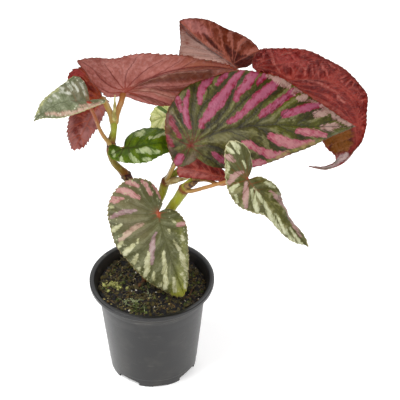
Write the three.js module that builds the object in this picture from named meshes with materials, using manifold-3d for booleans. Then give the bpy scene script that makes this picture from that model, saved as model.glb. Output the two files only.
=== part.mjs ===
// A begonia with striped, lopsided heart leaves in a round nursery pot.
// Millimetres, +Z up, the pot's base centre at the origin, the plant's front towards -Y.
import * as THREE from "three";
import { mergeVertices } from "three/addons/utils/BufferGeometryUtils.js";
import Module from "manifold-3d";

const wasm = await Module();
wasm.setup();

// Driving dimensions.
const RIM_RADIUS = 60;
const POT_HEIGHT = 105;
const BASE_RADIUS = 41.5;
const NECK_RADIUS = 50.6; // under the flare
const NECK_HEIGHT = 88;
const LIP_WIDTH = 6.5;
const WALL = 1.5;
const FLOOR = 1.8;
const SOIL_TOP = 95;
const SOIL_CROWN = 1.5; // how much the soil rises in the middle
const SOIL_SHOULDER = { radius: 44, drop: 2 }; // where the soil starts to sink towards the wall
const SOIL_CLEARANCE = 0.997; // keeps the soil's flat sides clear of the pot's
const GAP = 0.3; // between pieces that lie against each other
const BLADE = 0.8; // thickness of a leaf blade
const SWELL = 0.1; // how far a blade bulges between midrib and margin, as a share of that distance
const STEM_SIDES = 10;
const PETIOLE_SIDES = 7;
const POT_SIDES = 40;
const SOIL_SIDES = 36;
const STALK_THICK = { start: 1.9, end: 1.4 };

// Drain holes at the foot of the pot: wide arches, with a narrow low one between each two.
const DRAINS = 4;
const FIRST_DRAIN = THREE.MathUtils.degToRad(-35);
const DRAIN_INSET = 4.5; // from the pot's foot inwards
const WIDE_DRAIN = { width: 24, height: 6 };
const NARROW_DRAIN = { width: 14, height: 1.5 };

const FINISH = {
  stem: { color: 0x8c9238, roughness: 0.5 },
  pot: { color: 0x3a3a38, roughness: 0.45 },
  soil: { color: 0x3d2c1c, roughness: 0.95 },
  stalk: { color: 0xb27a4a, roughness: 0.5 },
  sheath: { color: 0x5a3f28, roughness: 0.8 },
  blade: { roughness: 0.5 },
};

const plant = new THREE.Group();

// ---------------------------------------------------------------- solids

// A closed geometry as a solid that can be joined and cut.
function solidOf(geometry) {
  const bare = geometry.clone();
  bare.deleteAttribute("normal");
  bare.deleteAttribute("uv");
  const merged = mergeVertices(bare, 1e-4);
  return new wasm.Manifold(
    new wasm.Mesh({
      numProp: 3,
      vertProperties: merged.attributes.position.array,
      triVerts: new Uint32Array(merged.index.array),
    }),
  );
}

// The geometry of a solid's largest body.
function geometryOf(solid) {
  const [body] = solid.decompose().sort((a, b) => b.volume() - a.volume());
  const mesh = body.getMesh();
  const geometry = new THREE.BufferGeometry();
  geometry.setAttribute("position", new THREE.BufferAttribute(mesh.vertProperties, 3));
  geometry.setIndex(new THREE.BufferAttribute(mesh.triVerts, 1));
  return geometry;
}

function add(name, geometry, { color, roughness }) {
  geometry.computeVertexNormals();
  const material = new THREE.MeshStandardMaterial({ color, roughness, metalness: 0 });
  const mesh = new THREE.Mesh(geometry, material);
  mesh.name = name;
  plant.add(mesh);
}

function vectors(points) {
  return points.map(([x, y, z]) => new THREE.Vector3(x, y, z));
}

// A closed round tube through stations [x, y, z, radius], grown on all sides by the same amount.
function tube(stations, sides, grow = 0) {
  const centres = vectors(stations);
  const lengthen = (end, neighbour) => {
    const outwards = end.clone().sub(neighbour).normalize();
    end.addScaledVector(outwards, grow);
  };
  lengthen(centres[0], centres[1]);
  lengthen(centres.at(-1), centres.at(-2));
  const curve = new THREE.CatmullRomCurve3(centres, false, "centripetal");
  const stepsPerStation = 2;
  const steps = (stations.length - 1) * stepsPerStation;
  const tangents = [];
  for (let i = 0; i <= steps; i++) tangents.push(curve.getTangent(i / steps));
  const positions = [];
  let side = new THREE.Vector3(0, 1, 0);
  for (let i = 0; i <= steps; i++) {
    const at = i / stepsPerStation;
    const first = Math.min(Math.floor(at), stations.length - 2);
    const radius = THREE.MathUtils.lerp(stations[first][3], stations[first + 1][3], at - first) + grow;
    const centre = curve.getPoint(i / steps);
    side = side.clone().addScaledVector(tangents[i], -side.dot(tangents[i])).normalize();
    const other = new THREE.Vector3().crossVectors(tangents[i], side);
    for (let k = 0; k < sides; k++) {
      const turn = (2 * Math.PI * k) / sides;
      const point = centre
        .clone()
        .addScaledVector(side, radius * Math.cos(turn))
        .addScaledVector(other, radius * Math.sin(turn));
      positions.push(point.x, point.y, point.z);
    }
  }
  const start = positions.length / 3;
  positions.push(...curve.getPoint(0).toArray(), ...curve.getPoint(1).toArray());
  const index = [];
  for (let k = 0; k < sides; k++) {
    const next = (k + 1) % sides;
    for (let i = 0; i < steps; i++) {
      const a = i * sides + k;
      const b = i * sides + next;
      index.push(a, b, b + sides, a, b + sides, a + sides);
    }
    index.push(start, next, k, start + 1, steps * sides + k, steps * sides + next);
  }
  const geometry = new THREE.BufferGeometry();
  geometry.setAttribute("position", new THREE.Float32BufferAttribute(positions, 3));
  geometry.setIndex(index);
  return geometry;
}

// ---------------------------------------------------------------- pot and soil

function lathe(profile, sides) {
  return new THREE.LatheGeometry(
    profile.map(([radius, height]) => new THREE.Vector2(radius, height)),
    sides,
  ).rotateX(Math.PI / 2);
}

// Radii of the pot's inner face, from the rim down.
const lipInside = RIM_RADIUS - LIP_WIDTH;
const innerWall = [
  [lipInside, POT_HEIGHT - 1],
  [lipInside - 0.9, POT_HEIGHT - 5],
  [lipInside - 2.1, POT_HEIGHT - 10],
  [NECK_RADIUS - WALL, NECK_HEIGHT],
  [BASE_RADIUS - WALL, FLOOR],
];

// A solid wedge with an arched top that cuts a drain hole where the wall meets the floor.
function arch({ width, height }, angle) {
  const half = width / 2;
  const sink = 1;
  const reach = 12;
  const shoulder = height * 0.55;
  const bend = half * 0.85;
  const outline = new THREE.Shape();
  outline.moveTo(-half, -sink);
  outline.lineTo(half, -sink);
  outline.lineTo(half, shoulder);
  outline.quadraticCurveTo(bend, height, 0, height);
  outline.quadraticCurveTo(-bend, height, -half, shoulder);
  outline.closePath();
  const cutter = new THREE.ExtrudeGeometry(outline, { depth: reach, bevelEnabled: false, curveSegments: 4 });
  cutter.rotateX(Math.PI / 2);
  cutter.translate(0, -(BASE_RADIUS - DRAIN_INSET), 0);
  cutter.rotateZ(angle);
  return solidOf(cutter);
}

function pot() {
  const outside = [
    [BASE_RADIUS - 1, 0],
    [BASE_RADIUS, 1],
    [NECK_RADIUS, NECK_HEIGHT],
    [NECK_RADIUS + 1, NECK_HEIGHT + 5],
    [NECK_RADIUS + 3.4, NECK_HEIGHT + 9.5],
    [RIM_RADIUS - 2.4, POT_HEIGHT - 4.8],
    [RIM_RADIUS - 0.6, POT_HEIGHT - 4.2],
    [RIM_RADIUS, POT_HEIGHT - 2.6],
    [RIM_RADIUS, POT_HEIGHT - 1.2],
    [RIM_RADIUS - 1.2, POT_HEIGHT],
    [lipInside + 1.2, POT_HEIGHT],
  ];
  const shell = lathe([[0, 0], ...outside, ...innerWall, [0, FLOOR]], POT_SIDES);
  let solid = solidOf(shell);
  const apart = (2 * Math.PI) / DRAINS;
  for (let i = 0; i < DRAINS; i++) {
    const angle = FIRST_DRAIN + i * apart;
    solid = solid.subtract(arch(WIDE_DRAIN, angle));
    solid = solid.subtract(arch(NARROW_DRAIN, angle + apart / 2));
  }
  return geometryOf(solid);
}

function innerRadius(height) {
  const above = innerWall.findIndex(([, level]) => level <= height);
  const [topRadius, top] = innerWall[above - 1];
  const [lowRadius, low] = innerWall[above];
  return THREE.MathUtils.mapLinear(height, low, top, lowRadius, topRadius);
}

function soil(planted) {
  const foot = FLOOR + GAP;
  const edge = (height) => [(innerRadius(height) - GAP) * SOIL_CLEARANCE, height];
  const profile = [
    [0, foot],
    edge(foot),
    edge(NECK_HEIGHT),
    edge(SOIL_TOP - SOIL_SHOULDER.drop),
    [SOIL_SHOULDER.radius, SOIL_TOP],
    [0, SOIL_TOP + SOIL_CROWN],
  ];
  let solid = solidOf(lathe(profile, SOIL_SIDES));
  for (const stations of planted) solid = solid.subtract(solidOf(tube(stations, STEM_SIDES, GAP)));
  return geometryOf(solid);
}

// ---------------------------------------------------------------- leaves

// The blade's own axes: u towards the tip, v to its left, n out of its upper face.
function axesOf({ heading, climb, roll }) {
  const [turn, rise, tilt] = [heading, climb, roll].map(THREE.MathUtils.degToRad);
  const u = new THREE.Vector3(Math.cos(rise) * Math.cos(turn), Math.cos(rise) * Math.sin(turn), Math.sin(rise));
  const level = new THREE.Vector3(-Math.sin(turn), Math.cos(turn), 0);
  const up = new THREE.Vector3().crossVectors(u, level);
  const v = level.multiplyScalar(Math.cos(tilt)).addScaledVector(up, Math.sin(tilt));
  return { u, v, n: new THREE.Vector3().crossVectors(u, v) };
}

// A blade is ruled between its midrib and its margin. Each row of a side is
// [how far along the midrib its vein starts, u, v, lift], from the notch round to the tip.
// The veins of the lobe all start at the leaf's origin, so the two sides share the later rows' starts.
function blade(leaf, over = 0, under = BLADE) {
  const lobeRows = 7;
  const midribRows = 9;
  const rows = lobeRows + midribRows;
  const across = 2;
  const { u, v, n } = axesOf(leaf);
  const tip = leaf.midrib.at(-1);
  const midrib = new THREE.CatmullRomCurve3(vectors([[0, 0, 0], ...leaf.midrib]), false, "centripetal");
  const place = (p, lift) =>
    new THREE.Vector3(...leaf.origin).addScaledVector(u, p.x).addScaledVector(v, p.y).addScaledVector(n, p.z + lift);
  const sheet = (side, row, step) => {
    const all = [...side, [1, ...tip]];
    const margin = new THREE.CatmullRomCurve3(vectors(all.map((r) => r.slice(1))), false, "centripetal");
    const lastLobe = all.findLastIndex((r) => r[0] === 0);
    const along = Math.max(0, (row - lobeRows) / midribRows) ** 1.5;
    let at = (lastLobe * row) / lobeRows;
    if (row > lobeRows) {
      const next = all.findIndex((r) => r[0] >= along);
      at = THREE.MathUtils.mapLinear(along, all[next - 1][0], all[next][0], next - 1, next);
    }
    const start = midrib.getPointAt(along);
    const end = margin.getPoint(at / (all.length - 1));
    const share = step / across;
    const lift = SWELL * start.distanceTo(end) * 4 * share * (1 - share);
    return place(start.lerp(end, share), lift);
  };
  const positions = [];
  const index = [];
  const known = new Map();
  const vertex = (point) => {
    const key = point.toArray().map((c) => Math.round(c * 1e3)).join();
    if (!known.has(key)) {
      known.set(key, positions.length / 3);
      positions.push(...point.toArray());
    }
    return known.get(key);
  };
  const face = (a, b, c) => {
    if (a !== b && b !== c && c !== a) index.push(a, b, c);
  };
  const upper = (p) => vertex(p.clone().addScaledVector(n, over));
  const lower = (p) => vertex(p.clone().addScaledVector(n, -under));
  for (const [side, left] of [[leaf.left, true], [leaf.right, false]]) {
    // A wall runs down from an edge of the upper face.
    const wall = (p, q) => {
      const [a, b] = left ? [p, q] : [q, p];
      face(upper(a), lower(a), lower(b));
      face(upper(a), lower(b), upper(b));
    };
    for (let row = 0; row < rows; row++) {
      for (let step = 0; step < across; step++) {
        const [p, q] = [sheet(side, row, step), sheet(side, row, step + 1)];
        const [s, r] = [sheet(side, row + 1, step), sheet(side, row + 1, step + 1)];
        const ring = left ? [p, s, r, q] : [p, q, r, s];
        const [a, b, c, d] = ring.map(upper);
        face(a, b, c);
        face(a, c, d);
        const [e, f, g, h] = ring.map(lower);
        face(e, g, f);
        face(e, h, g);
      }
      wall(sheet(side, row + 1, across), sheet(side, row, across));
    }
    for (let step = 0; step < across; step++) wall(sheet(side, 0, step + 1), sheet(side, 0, step));
  }
  const geometry = new THREE.BufferGeometry();
  geometry.setAttribute("position", new THREE.Float32BufferAttribute(positions, 3));
  geometry.setIndex(index);
  return geometry;
}

// The leaf stalk runs from the middle of its stem to the underside of its blade, and is cut clear of both.
function petiole(leaf) {
  const last = leaf.petiole.length - 1;
  const radius = (i) => THREE.MathUtils.lerp(STALK_THICK.start, STALK_THICK.end, i / last);
  const stations = leaf.petiole.map((p, i) => [...p, radius(i)]);
  const { n } = axesOf(leaf);
  const above = 6;
  const lid = new THREE.CylinderGeometry(above, above, above, PETIOLE_SIDES);
  lid.translate(0, above / 2 - BLADE - 2 * GAP, 0);
  lid.applyQuaternion(new THREE.Quaternion().setFromUnitVectors(new THREE.Vector3(0, 1, 0), n));
  lid.translate(...leaf.origin);
  const stalk = solidOf(tube(stations, PETIOLE_SIDES))
    .subtract(solidOf(tube(stems[leaf.stem], STEM_SIDES, GAP)))
    .subtract(solidOf(lid))
    .subtract(solidOf(blade(leaf, above, BLADE + GAP)));
  return geometryOf(stalk);
}

// ---------------------------------------------------------------- the plant

const stems = {
  left: [
    [-5, 8, 62, 4.2], [-6, 8, 95, 4.2], [-10, 6, 160, 3.8], [-16, 3, 214, 3.5], [-18, 3, 222, 4.9],
    [-22, 2, 230, 3.4], [-29, 1, 238, 3], [-35, 0, 251, 3.1], [-34, 0, 262, 4], [-31, 0, 276, 2.8],
    [-30, 0, 286, 3.6], [-30, 0, 292, 3.2],
  ],
  middle: [
    [0, 17, 62, 3.8], [0, 17, 95, 3.8], [1, 11, 150, 3.6], [4, 6, 183, 3.4], [11, 5, 202, 3.3], [15, 5, 216, 4.3],
    [26, 7, 226, 3], [40, 11, 238, 2.8], [52, 18, 250, 3.6], [57, 21, 256, 3],
  ],
  right: [
    [7, -1, 62, 4.6], [7, -1, 95, 4.6], [11, -2, 150, 4.4], [16, -3, 186, 4.2], [24, -5, 202, 4], [32, -8, 217, 5.2],
    [36, -10, 224, 3.4], [40, -11, 230, 3],
  ],
};

const leaves = {
  big_striped: {
    stem: "middle", petiole: [[15, 5, 216], [19, -2, 230], [24, -7, 244], [32, -13, 261], [38, -24, 278]],
    origin: [38, -24, 278], heading: 13, climb: -2, roll: 46, color: 0x8a6a62,
    midrib: [[19, 6, 2], [47, 10, 4], [78, 9, 4], [116, 4, 2], [155, 1, -4]],
    left: [
      [0, 3, -11, -4], [0, -2, -16, -9], [0, -13, -17, -11], [0, -19, -5, -8], [0, -20, 13, -6], [0, -15, 33, -6],
      [0.03, 2, 51, -8], [0.09, 29, 61, -10], [0.18, 59, 64, -11], [0.32, 85, 56, -10], [0.48, 108, 41, -8],
      [0.68, 133, 20, -6],
    ],
    right: [
      [0, 7, -11, -4], [0, 18, -18, -6], [0.05, 31, -24, -8], [0.14, 49, -26, -9], [0.28, 76, -22, -8],
      [0.46, 105, -13, -7], [0.7, 132, -5, -6],
    ],
  },
  right_small: {
    stem: "right", petiole: [[32, -8, 217], [37, -14, 219], [51, -29, 234], [69, -42, 250], [82, -47, 259], [87, -64, 269]],
    origin: [87, -64, 269], heading: -9, climb: -52, roll: 58, color: 0x77805c,
    midrib: [[10, 0, 3], [28, 1, 4], [52, 0, 3], [89, 0, -3]],
    left: [
      [0, 2, 2, -1], [0, 8, 10, -5], [0.06, 17, 14, -6], [0.14, 30, 14, -7], [0.3, 45, 9, -6], [0.52, 66, 4, -5],
      [0.75, 80, 2, -4],
    ],
    right: [
      [0, -2, 1, -1], [0, -3, 10, -3], [0, -11, 15, -4], [0, -24, 17, -6], [0, -34, 10, -8], [0, -30, 1, -8],
      [0, -19, -8, -7], [0, -3, -17, -6], [0.05, 16, -20, -7], [0.12, 29, -14, -7], [0.24, 39, -9, -6],
      [0.42, 60, -11, -5], [0.66, 78, -8, -4],
    ],
  },
  front_hanging: {
    stem: "right", petiole: [[11, -2, 150], [10, -10, 168], [9, -16, 186], [8, -22, 200]],
    origin: [8, -22, 200], heading: -25, climb: -74, roll: 60, color: 0x828766,
    midrib: [[13, -1, 3], [35, -1, 4], [62, -1, 3], [95, 0, -2]],
    left: [
      [0, -1, 3, -1], [0, -1, 9, -2], [0, 5, 16, -4], [0.05, 16, 20, -6], [0.12, 32, 19, -7], [0.25, 52, 15, -6],
      [0.45, 71, 10, -4], [0.72, 88, 6, -2],
    ],
    right: [
      [0, -2, 2, -1], [0, -7, 6, -2], [0, -18, 7, -3], [0, -31, 2, -3], [0, -38, -9, -4], [0, -37, -23, -5],
      [0, -25, -37, -6], [0, -8, -45, -7], [0.03, 14, -48, -8], [0.08, 34, -47, -8], [0.16, 52, -40, -7],
      [0.3, 69, -30, -6], [0.5, 82, -20, -4], [0.75, 93, -8, -2],
    ],
  },
  left_silver: {
    stem: "left", petiole: [[-34, 0, 262], [-37, -4, 272], [-40, -8, 283], [-44, -16, 303], [-48, -22, 316], [-50, -26, 324]],
    origin: [-50, -26, 324], heading: -171, climb: -16, roll: -7, color: 0x8f9c84,
    midrib: [[5, -1, 2], [19, -6, 4], [34, -8, 1], [52, -4, -4]],
    left: [
      [0, -3, 3, 1], [0, -15, 14, 9], [0, -15, 20, 11], [0.1, -7, 23, 13], [0.25, 4, 23, 13], [0.42, 15, 20, 11],
      [0.62, 29, 14, 6], [0.82, 41, 2, 0],
    ],
    right: [
      [0, -1, -2, 1], [0, -2, -14, 2], [0.02, 1, -27, 3], [0.08, 7, -32, 4], [0.2, 16, -30, 4], [0.4, 25, -28, 3],
      [0.62, 39, -24, 0], [0.83, 47, -12, -2],
    ],
  },
  left_back_red: {
    stem: "left", petiole: [[-30, 0, 287], [-34, 8, 291], [-38, 18, 292], [-42, 30, 291]],
    origin: [-42, 30, 291], heading: 158, climb: -64, roll: 55, color: 0x9a4a40,
    midrib: [[16, 0, 2], [37, 0, 3], [57, 0, 2], [72, 1, -2]],
    left: [
      [0, -3, 2, 0], [0, -25, 14, -3], [0, -36, 28, -5], [0, -37, 39, -6], [0, -31, 44, -7], [0.02, -14, 41, -7],
      [0.1, 6, 34, -7], [0.24, 27, 25, -6], [0.48, 49, 18, -5], [0.76, 62, 9, -3],
    ],
    right: [
      [0, 0, -2, 0], [0, 0, -5, -2], [0.08, 9, -7, -4], [0.18, 19, -8, -5], [0.34, 33, -8, -5], [0.56, 46, -7, -4],
      [0.8, 64, -6, -3],
    ],
  },
  left_big_red: {
    stem: "left", petiole: [[-30, 1, 290], [-28, 6, 297], [-25, 12, 301], [-23, 18, 303]],
    origin: [-23, 18, 303], heading: 15, climb: 4, roll: -77, color: 0x97604f,
    midrib: [[10, -9, -2], [22, -17, -4], [39, -23, -5], [62, -23, -5], [85, -15, -3], [107, -1, 0]],
    left: [
      [0, 2, 3, 0], [0, 7, 4, -3], [0.03, 19, 10, -7], [0.1, 34, 16, -9], [0.2, 50, 17, -10], [0.38, 69, 15, -9],
      [0.66, 91, 6, -5],
    ],
    right: [
      [0, -2, -3, 0], [0, -14, -15, -3], [0, -23, -31, -6], [0, -35, -48, -9], [0, -39, -62, -10], [0, -27, -63, -9],
      [0, -9, -55, -8], [0.05, 7, -53, -7], [0.14, 23, -52, -7], [0.3, 44, -45, -6], [0.5, 63, -35, -5],
      [0.74, 85, -22, -3],
    ],
  },
  right_big_red: {
    stem: "middle", petiole: [[56, 20, 254], [72, 25, 266], [92, 32, 280], [108, 41, 288], [112, 54, 292]],
    origin: [112, 54, 292], heading: 3, climb: -13, roll: -77, color: 0x9a4740,
    midrib: [
      [14, -7, 0], [30, -13, 0], [48, -13, 2], [66, -4, 4], [81, 10, 5], [93, 31, 5], [99, 50, 2], [100, 68, -4],
      [93, 80, -10], [78, 88, -14], [60, 88, -14],
    ],
    left: [
      [0, 0, 5, -1], [0, -1, 12, -6], [0.04, 10, 21, -9], [0.12, 26, 30, -10], [0.24, 42, 39, -10], [0.4, 54, 46, -10],
      [0.56, 64, 54, -10], [0.66, 71, 63, -11], [0.74, 80, 70, -12], [0.81, 82, 77, -13], [0.9, 74, 85, -14],
    ],
    right: [
      [0, -5, -4, 0], [0, -16, -12, -3], [0, -25, -21, -5], [0, -26, -37, -6], [0.02, -22, -47, -7],
      [0.06, -4, -53, -8], [0.12, 17, -56, -9], [0.2, 37, -51, -9], [0.28, 56, -41, -8], [0.38, 74, -26, -6],
      [0.47, 87, -8, -4], [0.56, 95, 13, -2], [0.65, 103, 37, -1], [0.73, 105, 58, -3], [0.8, 100, 70, -7],
      [0.87, 91, 83, -11], [0.94, 78, 91, -14],
    ],
  },
  top_red: {
    stem: "middle", petiole: [[51, 17, 249], [57, 32, 262], [69, 50, 280], [78, 57, 293], [80, 62, 302]],
    origin: [80, 62, 302], heading: -169, climb: 48, roll: 73, color: 0xa8685c,
    midrib: [[13, 3, -3], [38, 1, -5], [55, 0, -4], [78, -1, 0]],
    left: [
      [0, -1, 2, 0], [0, -6, 9, 3], [0, -6, 19, 5], [0, -1, 26, 7], [0.04, 11, 27, 8], [0.1, 24, 24, 9],
      [0.22, 40, 18, 9], [0.4, 55, 15, 7], [0.6, 67, 10, 4], [0.8, 74, 4, 2],
    ],
    right: [
      [0, -1, -5, 0], [0, -2, -18, 4], [0, 7, -32, 7], [0.06, 23, -38, 8], [0.16, 39, -36, 8], [0.34, 52, -22, 6],
      [0.6, 65, -11, 3],
    ],
  },
  mid_green: {
    stem: "left", petiole: [[-34, 0, 262], [-29, -7, 260], [-25, -11, 262], [-22, -16, 268]],
    origin: [-22, -16, 268], heading: 14, climb: -8, roll: 25, color: 0x6d8446,
    midrib: [[8, 0, 1], [21, 2, 2], [38, 4, 1], [53, 2, -3]],
    left: [
      [0, 1, 1, 0], [0, 3, 10, -2], [0, 9, 17, -4], [0.06, 20, 22, -5], [0.2, 32, 22, -5], [0.42, 42, 20, -4],
      [0.7, 50, 13, -3],
    ],
    right: [
      [0, -2, -1, 0], [0, -5, 3, -1], [0, -10, 5, -3], [0, -13, 0, -5], [0, -12, -7, -6], [0, -4, -12, -7],
      [0.08, 9, -15, -7], [0.22, 23, -14, -6], [0.42, 33, -9, -5], [0.68, 45, -3, -4],
    ],
  },
  back_pale: {
    stem: "middle", petiole: [[14, 5, 214], [22, 20, 225], [30, 38, 242], [33, 48, 252], [33, 52, 260]],
    origin: [33, 52, 260], heading: -177, climb: -15, roll: -30, color: 0xc2c592,
    midrib: [[7, 0, 1], [20, -1, 1], [34, 0, -1]],
    left: [[0, -1, 2, 0], [0, 3, 10, -2], [0.12, 15, 15, -3], [0.36, 26, 15, -2], [0.66, 34, 8, -1]],
    right: [[0, -1, -2, 0], [0, 2, -11, -2], [0.12, 13, -18, -3], [0.36, 24, -16, -2], [0.66, 31, -9, -1]],
  },
  under_red: {
    stem: "right", petiole: [[40, -11, 229], [52, -16, 233], [64, -24, 234], [72, -32, 236], [74, -33, 240], [72, -25, 242]],
    origin: [72, -25, 242], heading: 175, climb: 6, roll: 85, color: 0xa04538,
    midrib: [[13, 3, -1], [26, 6, -2], [39, 5, -2], [47, 0, 0]],
    left: [[0, 1, 3, 0], [0, 7, 11, -1], [0.15, 17, 18, 0], [0.35, 29, 19, 1], [0.6, 39, 13, 1], [0.82, 46, 5, 1]],
    right: [
      [0, -1, -3, 0], [0, 2, -5, -1], [0.15, 13, -5, -1], [0.35, 25, -5, -1], [0.6, 37, -6, 0], [0.82, 45, -6, 0],
    ],
  },
};

// Dry sheaths at the nodes: [x, y, z, radius] stations from the stem outwards.
const sheaths = {
  sheath_left: { stem: "left", stations: [[-31, -1, 289, 1.4], [-32, -5, 300, 1.2], [-31, -5, 312, 0.5]] },
  sheath_right: { stem: "right", stations: [[34, -11, 222, 1.6], [40, -18, 230, 1.4], [46, -21, 236, 0.5]] },
  sheath_middle: { stem: "middle", stations: [[15, 4, 216, 1.8], [24, 0, 221, 1.6], [35, -3, 224, 0.5]] },
};

for (const [name, stations] of Object.entries(stems)) add("stem_" + name, tube(stations, STEM_SIDES), FINISH.stem);
add("pot", pot(), FINISH.pot);
add("soil", soil(Object.values(stems)), FINISH.soil);
for (const [name, leaf] of Object.entries(leaves)) {
  add("blade_" + name, blade(leaf), { ...FINISH.blade, color: leaf.color });
  add("petiole_" + name, petiole(leaf), FINISH.stalk);
}
for (const [name, { stem, stations }] of Object.entries(sheaths)) {
  const room = solidOf(tube(stems[stem], STEM_SIDES, GAP));
  add(name, geometryOf(solidOf(tube(stations, PETIOLE_SIDES)).subtract(room)), FINISH.sheath);
}

export default plant;
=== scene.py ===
"""Looks of a potted begonia: striped, lopsided heart leaves on juicy stems in a black nursery pot."""

import logging
import math
from dataclasses import dataclass, replace
from enum import Enum

import bmesh
import bpy
import numpy as np
from bpy.types import Material, Mesh, Object
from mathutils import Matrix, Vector


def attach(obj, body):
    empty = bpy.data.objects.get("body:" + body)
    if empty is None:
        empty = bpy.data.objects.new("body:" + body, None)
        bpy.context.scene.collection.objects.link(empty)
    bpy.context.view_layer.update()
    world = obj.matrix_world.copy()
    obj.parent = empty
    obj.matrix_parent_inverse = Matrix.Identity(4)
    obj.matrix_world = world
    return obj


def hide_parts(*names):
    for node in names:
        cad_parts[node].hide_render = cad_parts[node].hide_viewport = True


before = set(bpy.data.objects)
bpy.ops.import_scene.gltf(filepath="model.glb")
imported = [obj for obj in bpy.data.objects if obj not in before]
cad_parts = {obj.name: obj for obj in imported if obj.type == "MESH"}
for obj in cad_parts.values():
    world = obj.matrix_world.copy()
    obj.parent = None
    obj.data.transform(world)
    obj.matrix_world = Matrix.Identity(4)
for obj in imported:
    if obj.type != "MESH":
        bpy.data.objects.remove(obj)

log = logging.getLogger("begonia")

MM = 0.001
PHOTO_SIDE = 400
SWELL = 0.1  # how far a blade bulges between midrib and margin, as a share of that distance
LIGHT = 1.3  # how much brighter than a surface the studio shows it
SHEEN = 0.024  # white that the light adds to a surface
DARKEST = 0.002  # the least light that a surface gives back
BODY = "root"
NEVER_ZERO = 1e-6  # keeps a divisor above nothing
SAME_SPOT = 1e-4  # a gap smaller than this is none
LENGTH_STEPS = 201  # places at which a spline's length is measured
WAVES = 7  # waves that make up a wobble
WAVE_SUM = 3.2  # what their sum seldom passes

Array = np.ndarray
Point = tuple[float, ...]
Colour = tuple[float, float, float, float]
Chain = tuple[tuple[float, float, float], ...]
Vein = tuple[float | tuple[float, float], ...]
Faces = list[tuple[int, ...]]


def rgb(red: int, green: int, blue: int) -> Colour:
    """Turns a colour as seen on screen, 0 to 255, into the surface's own linear colour.

    Args:
        red: Red of the seen colour.
        green: Green of the seen colour.
        blue: Blue of the seen colour.

    Returns:
        The linear colour with full alpha.
    """
    parts = [c / 255 for c in (red, green, blue)]
    linear = [c / 12.92 if c <= 0.04045 else ((c + 0.055) / 1.055) ** 2.4 for c in parts]
    return (*(max(c - SHEEN, DARKEST) / LIGHT for c in linear), 1.0)


# ---------------------------------------------------------------- shaders


class Val:
    """A shader socket that takes part in Python arithmetic."""

    def __init__(self, net: "Net", socket: bpy.types.NodeSocket) -> None:
        """Wraps one output socket of a net."""
        self.net = net
        self.socket = socket

    def __add__(self, other: "Val | float") -> "Val":
        """Adds."""
        return self.net.math("ADD", self, other)

    def __sub__(self, other: "Val | float") -> "Val":
        """Subtracts."""
        return self.net.math("SUBTRACT", self, other)

    def __rsub__(self, other: float) -> "Val":
        """Subtracts this from a number."""
        return self.net.math("SUBTRACT", other, self)

    def __mul__(self, other: "Val | float") -> "Val":
        """Multiplies."""
        return self.net.math("MULTIPLY", self, other)

    __radd__ = __add__
    __rmul__ = __mul__

    def between(self, low: float, high: float) -> "Val":
        """Rises smoothly from 0 at low to 1 at high.

        Args:
            low: Value that gives 0.
            high: Value that gives 1.

        Returns:
            The eased value.
        """
        spans = {"Value": self, "From Min": low, "From Max": high}
        node = self.net.node("ShaderNodeMapRange", {"interpolation_type": "SMOOTHSTEP"}, spans)
        return Val(self.net, node.outputs[0])


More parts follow.
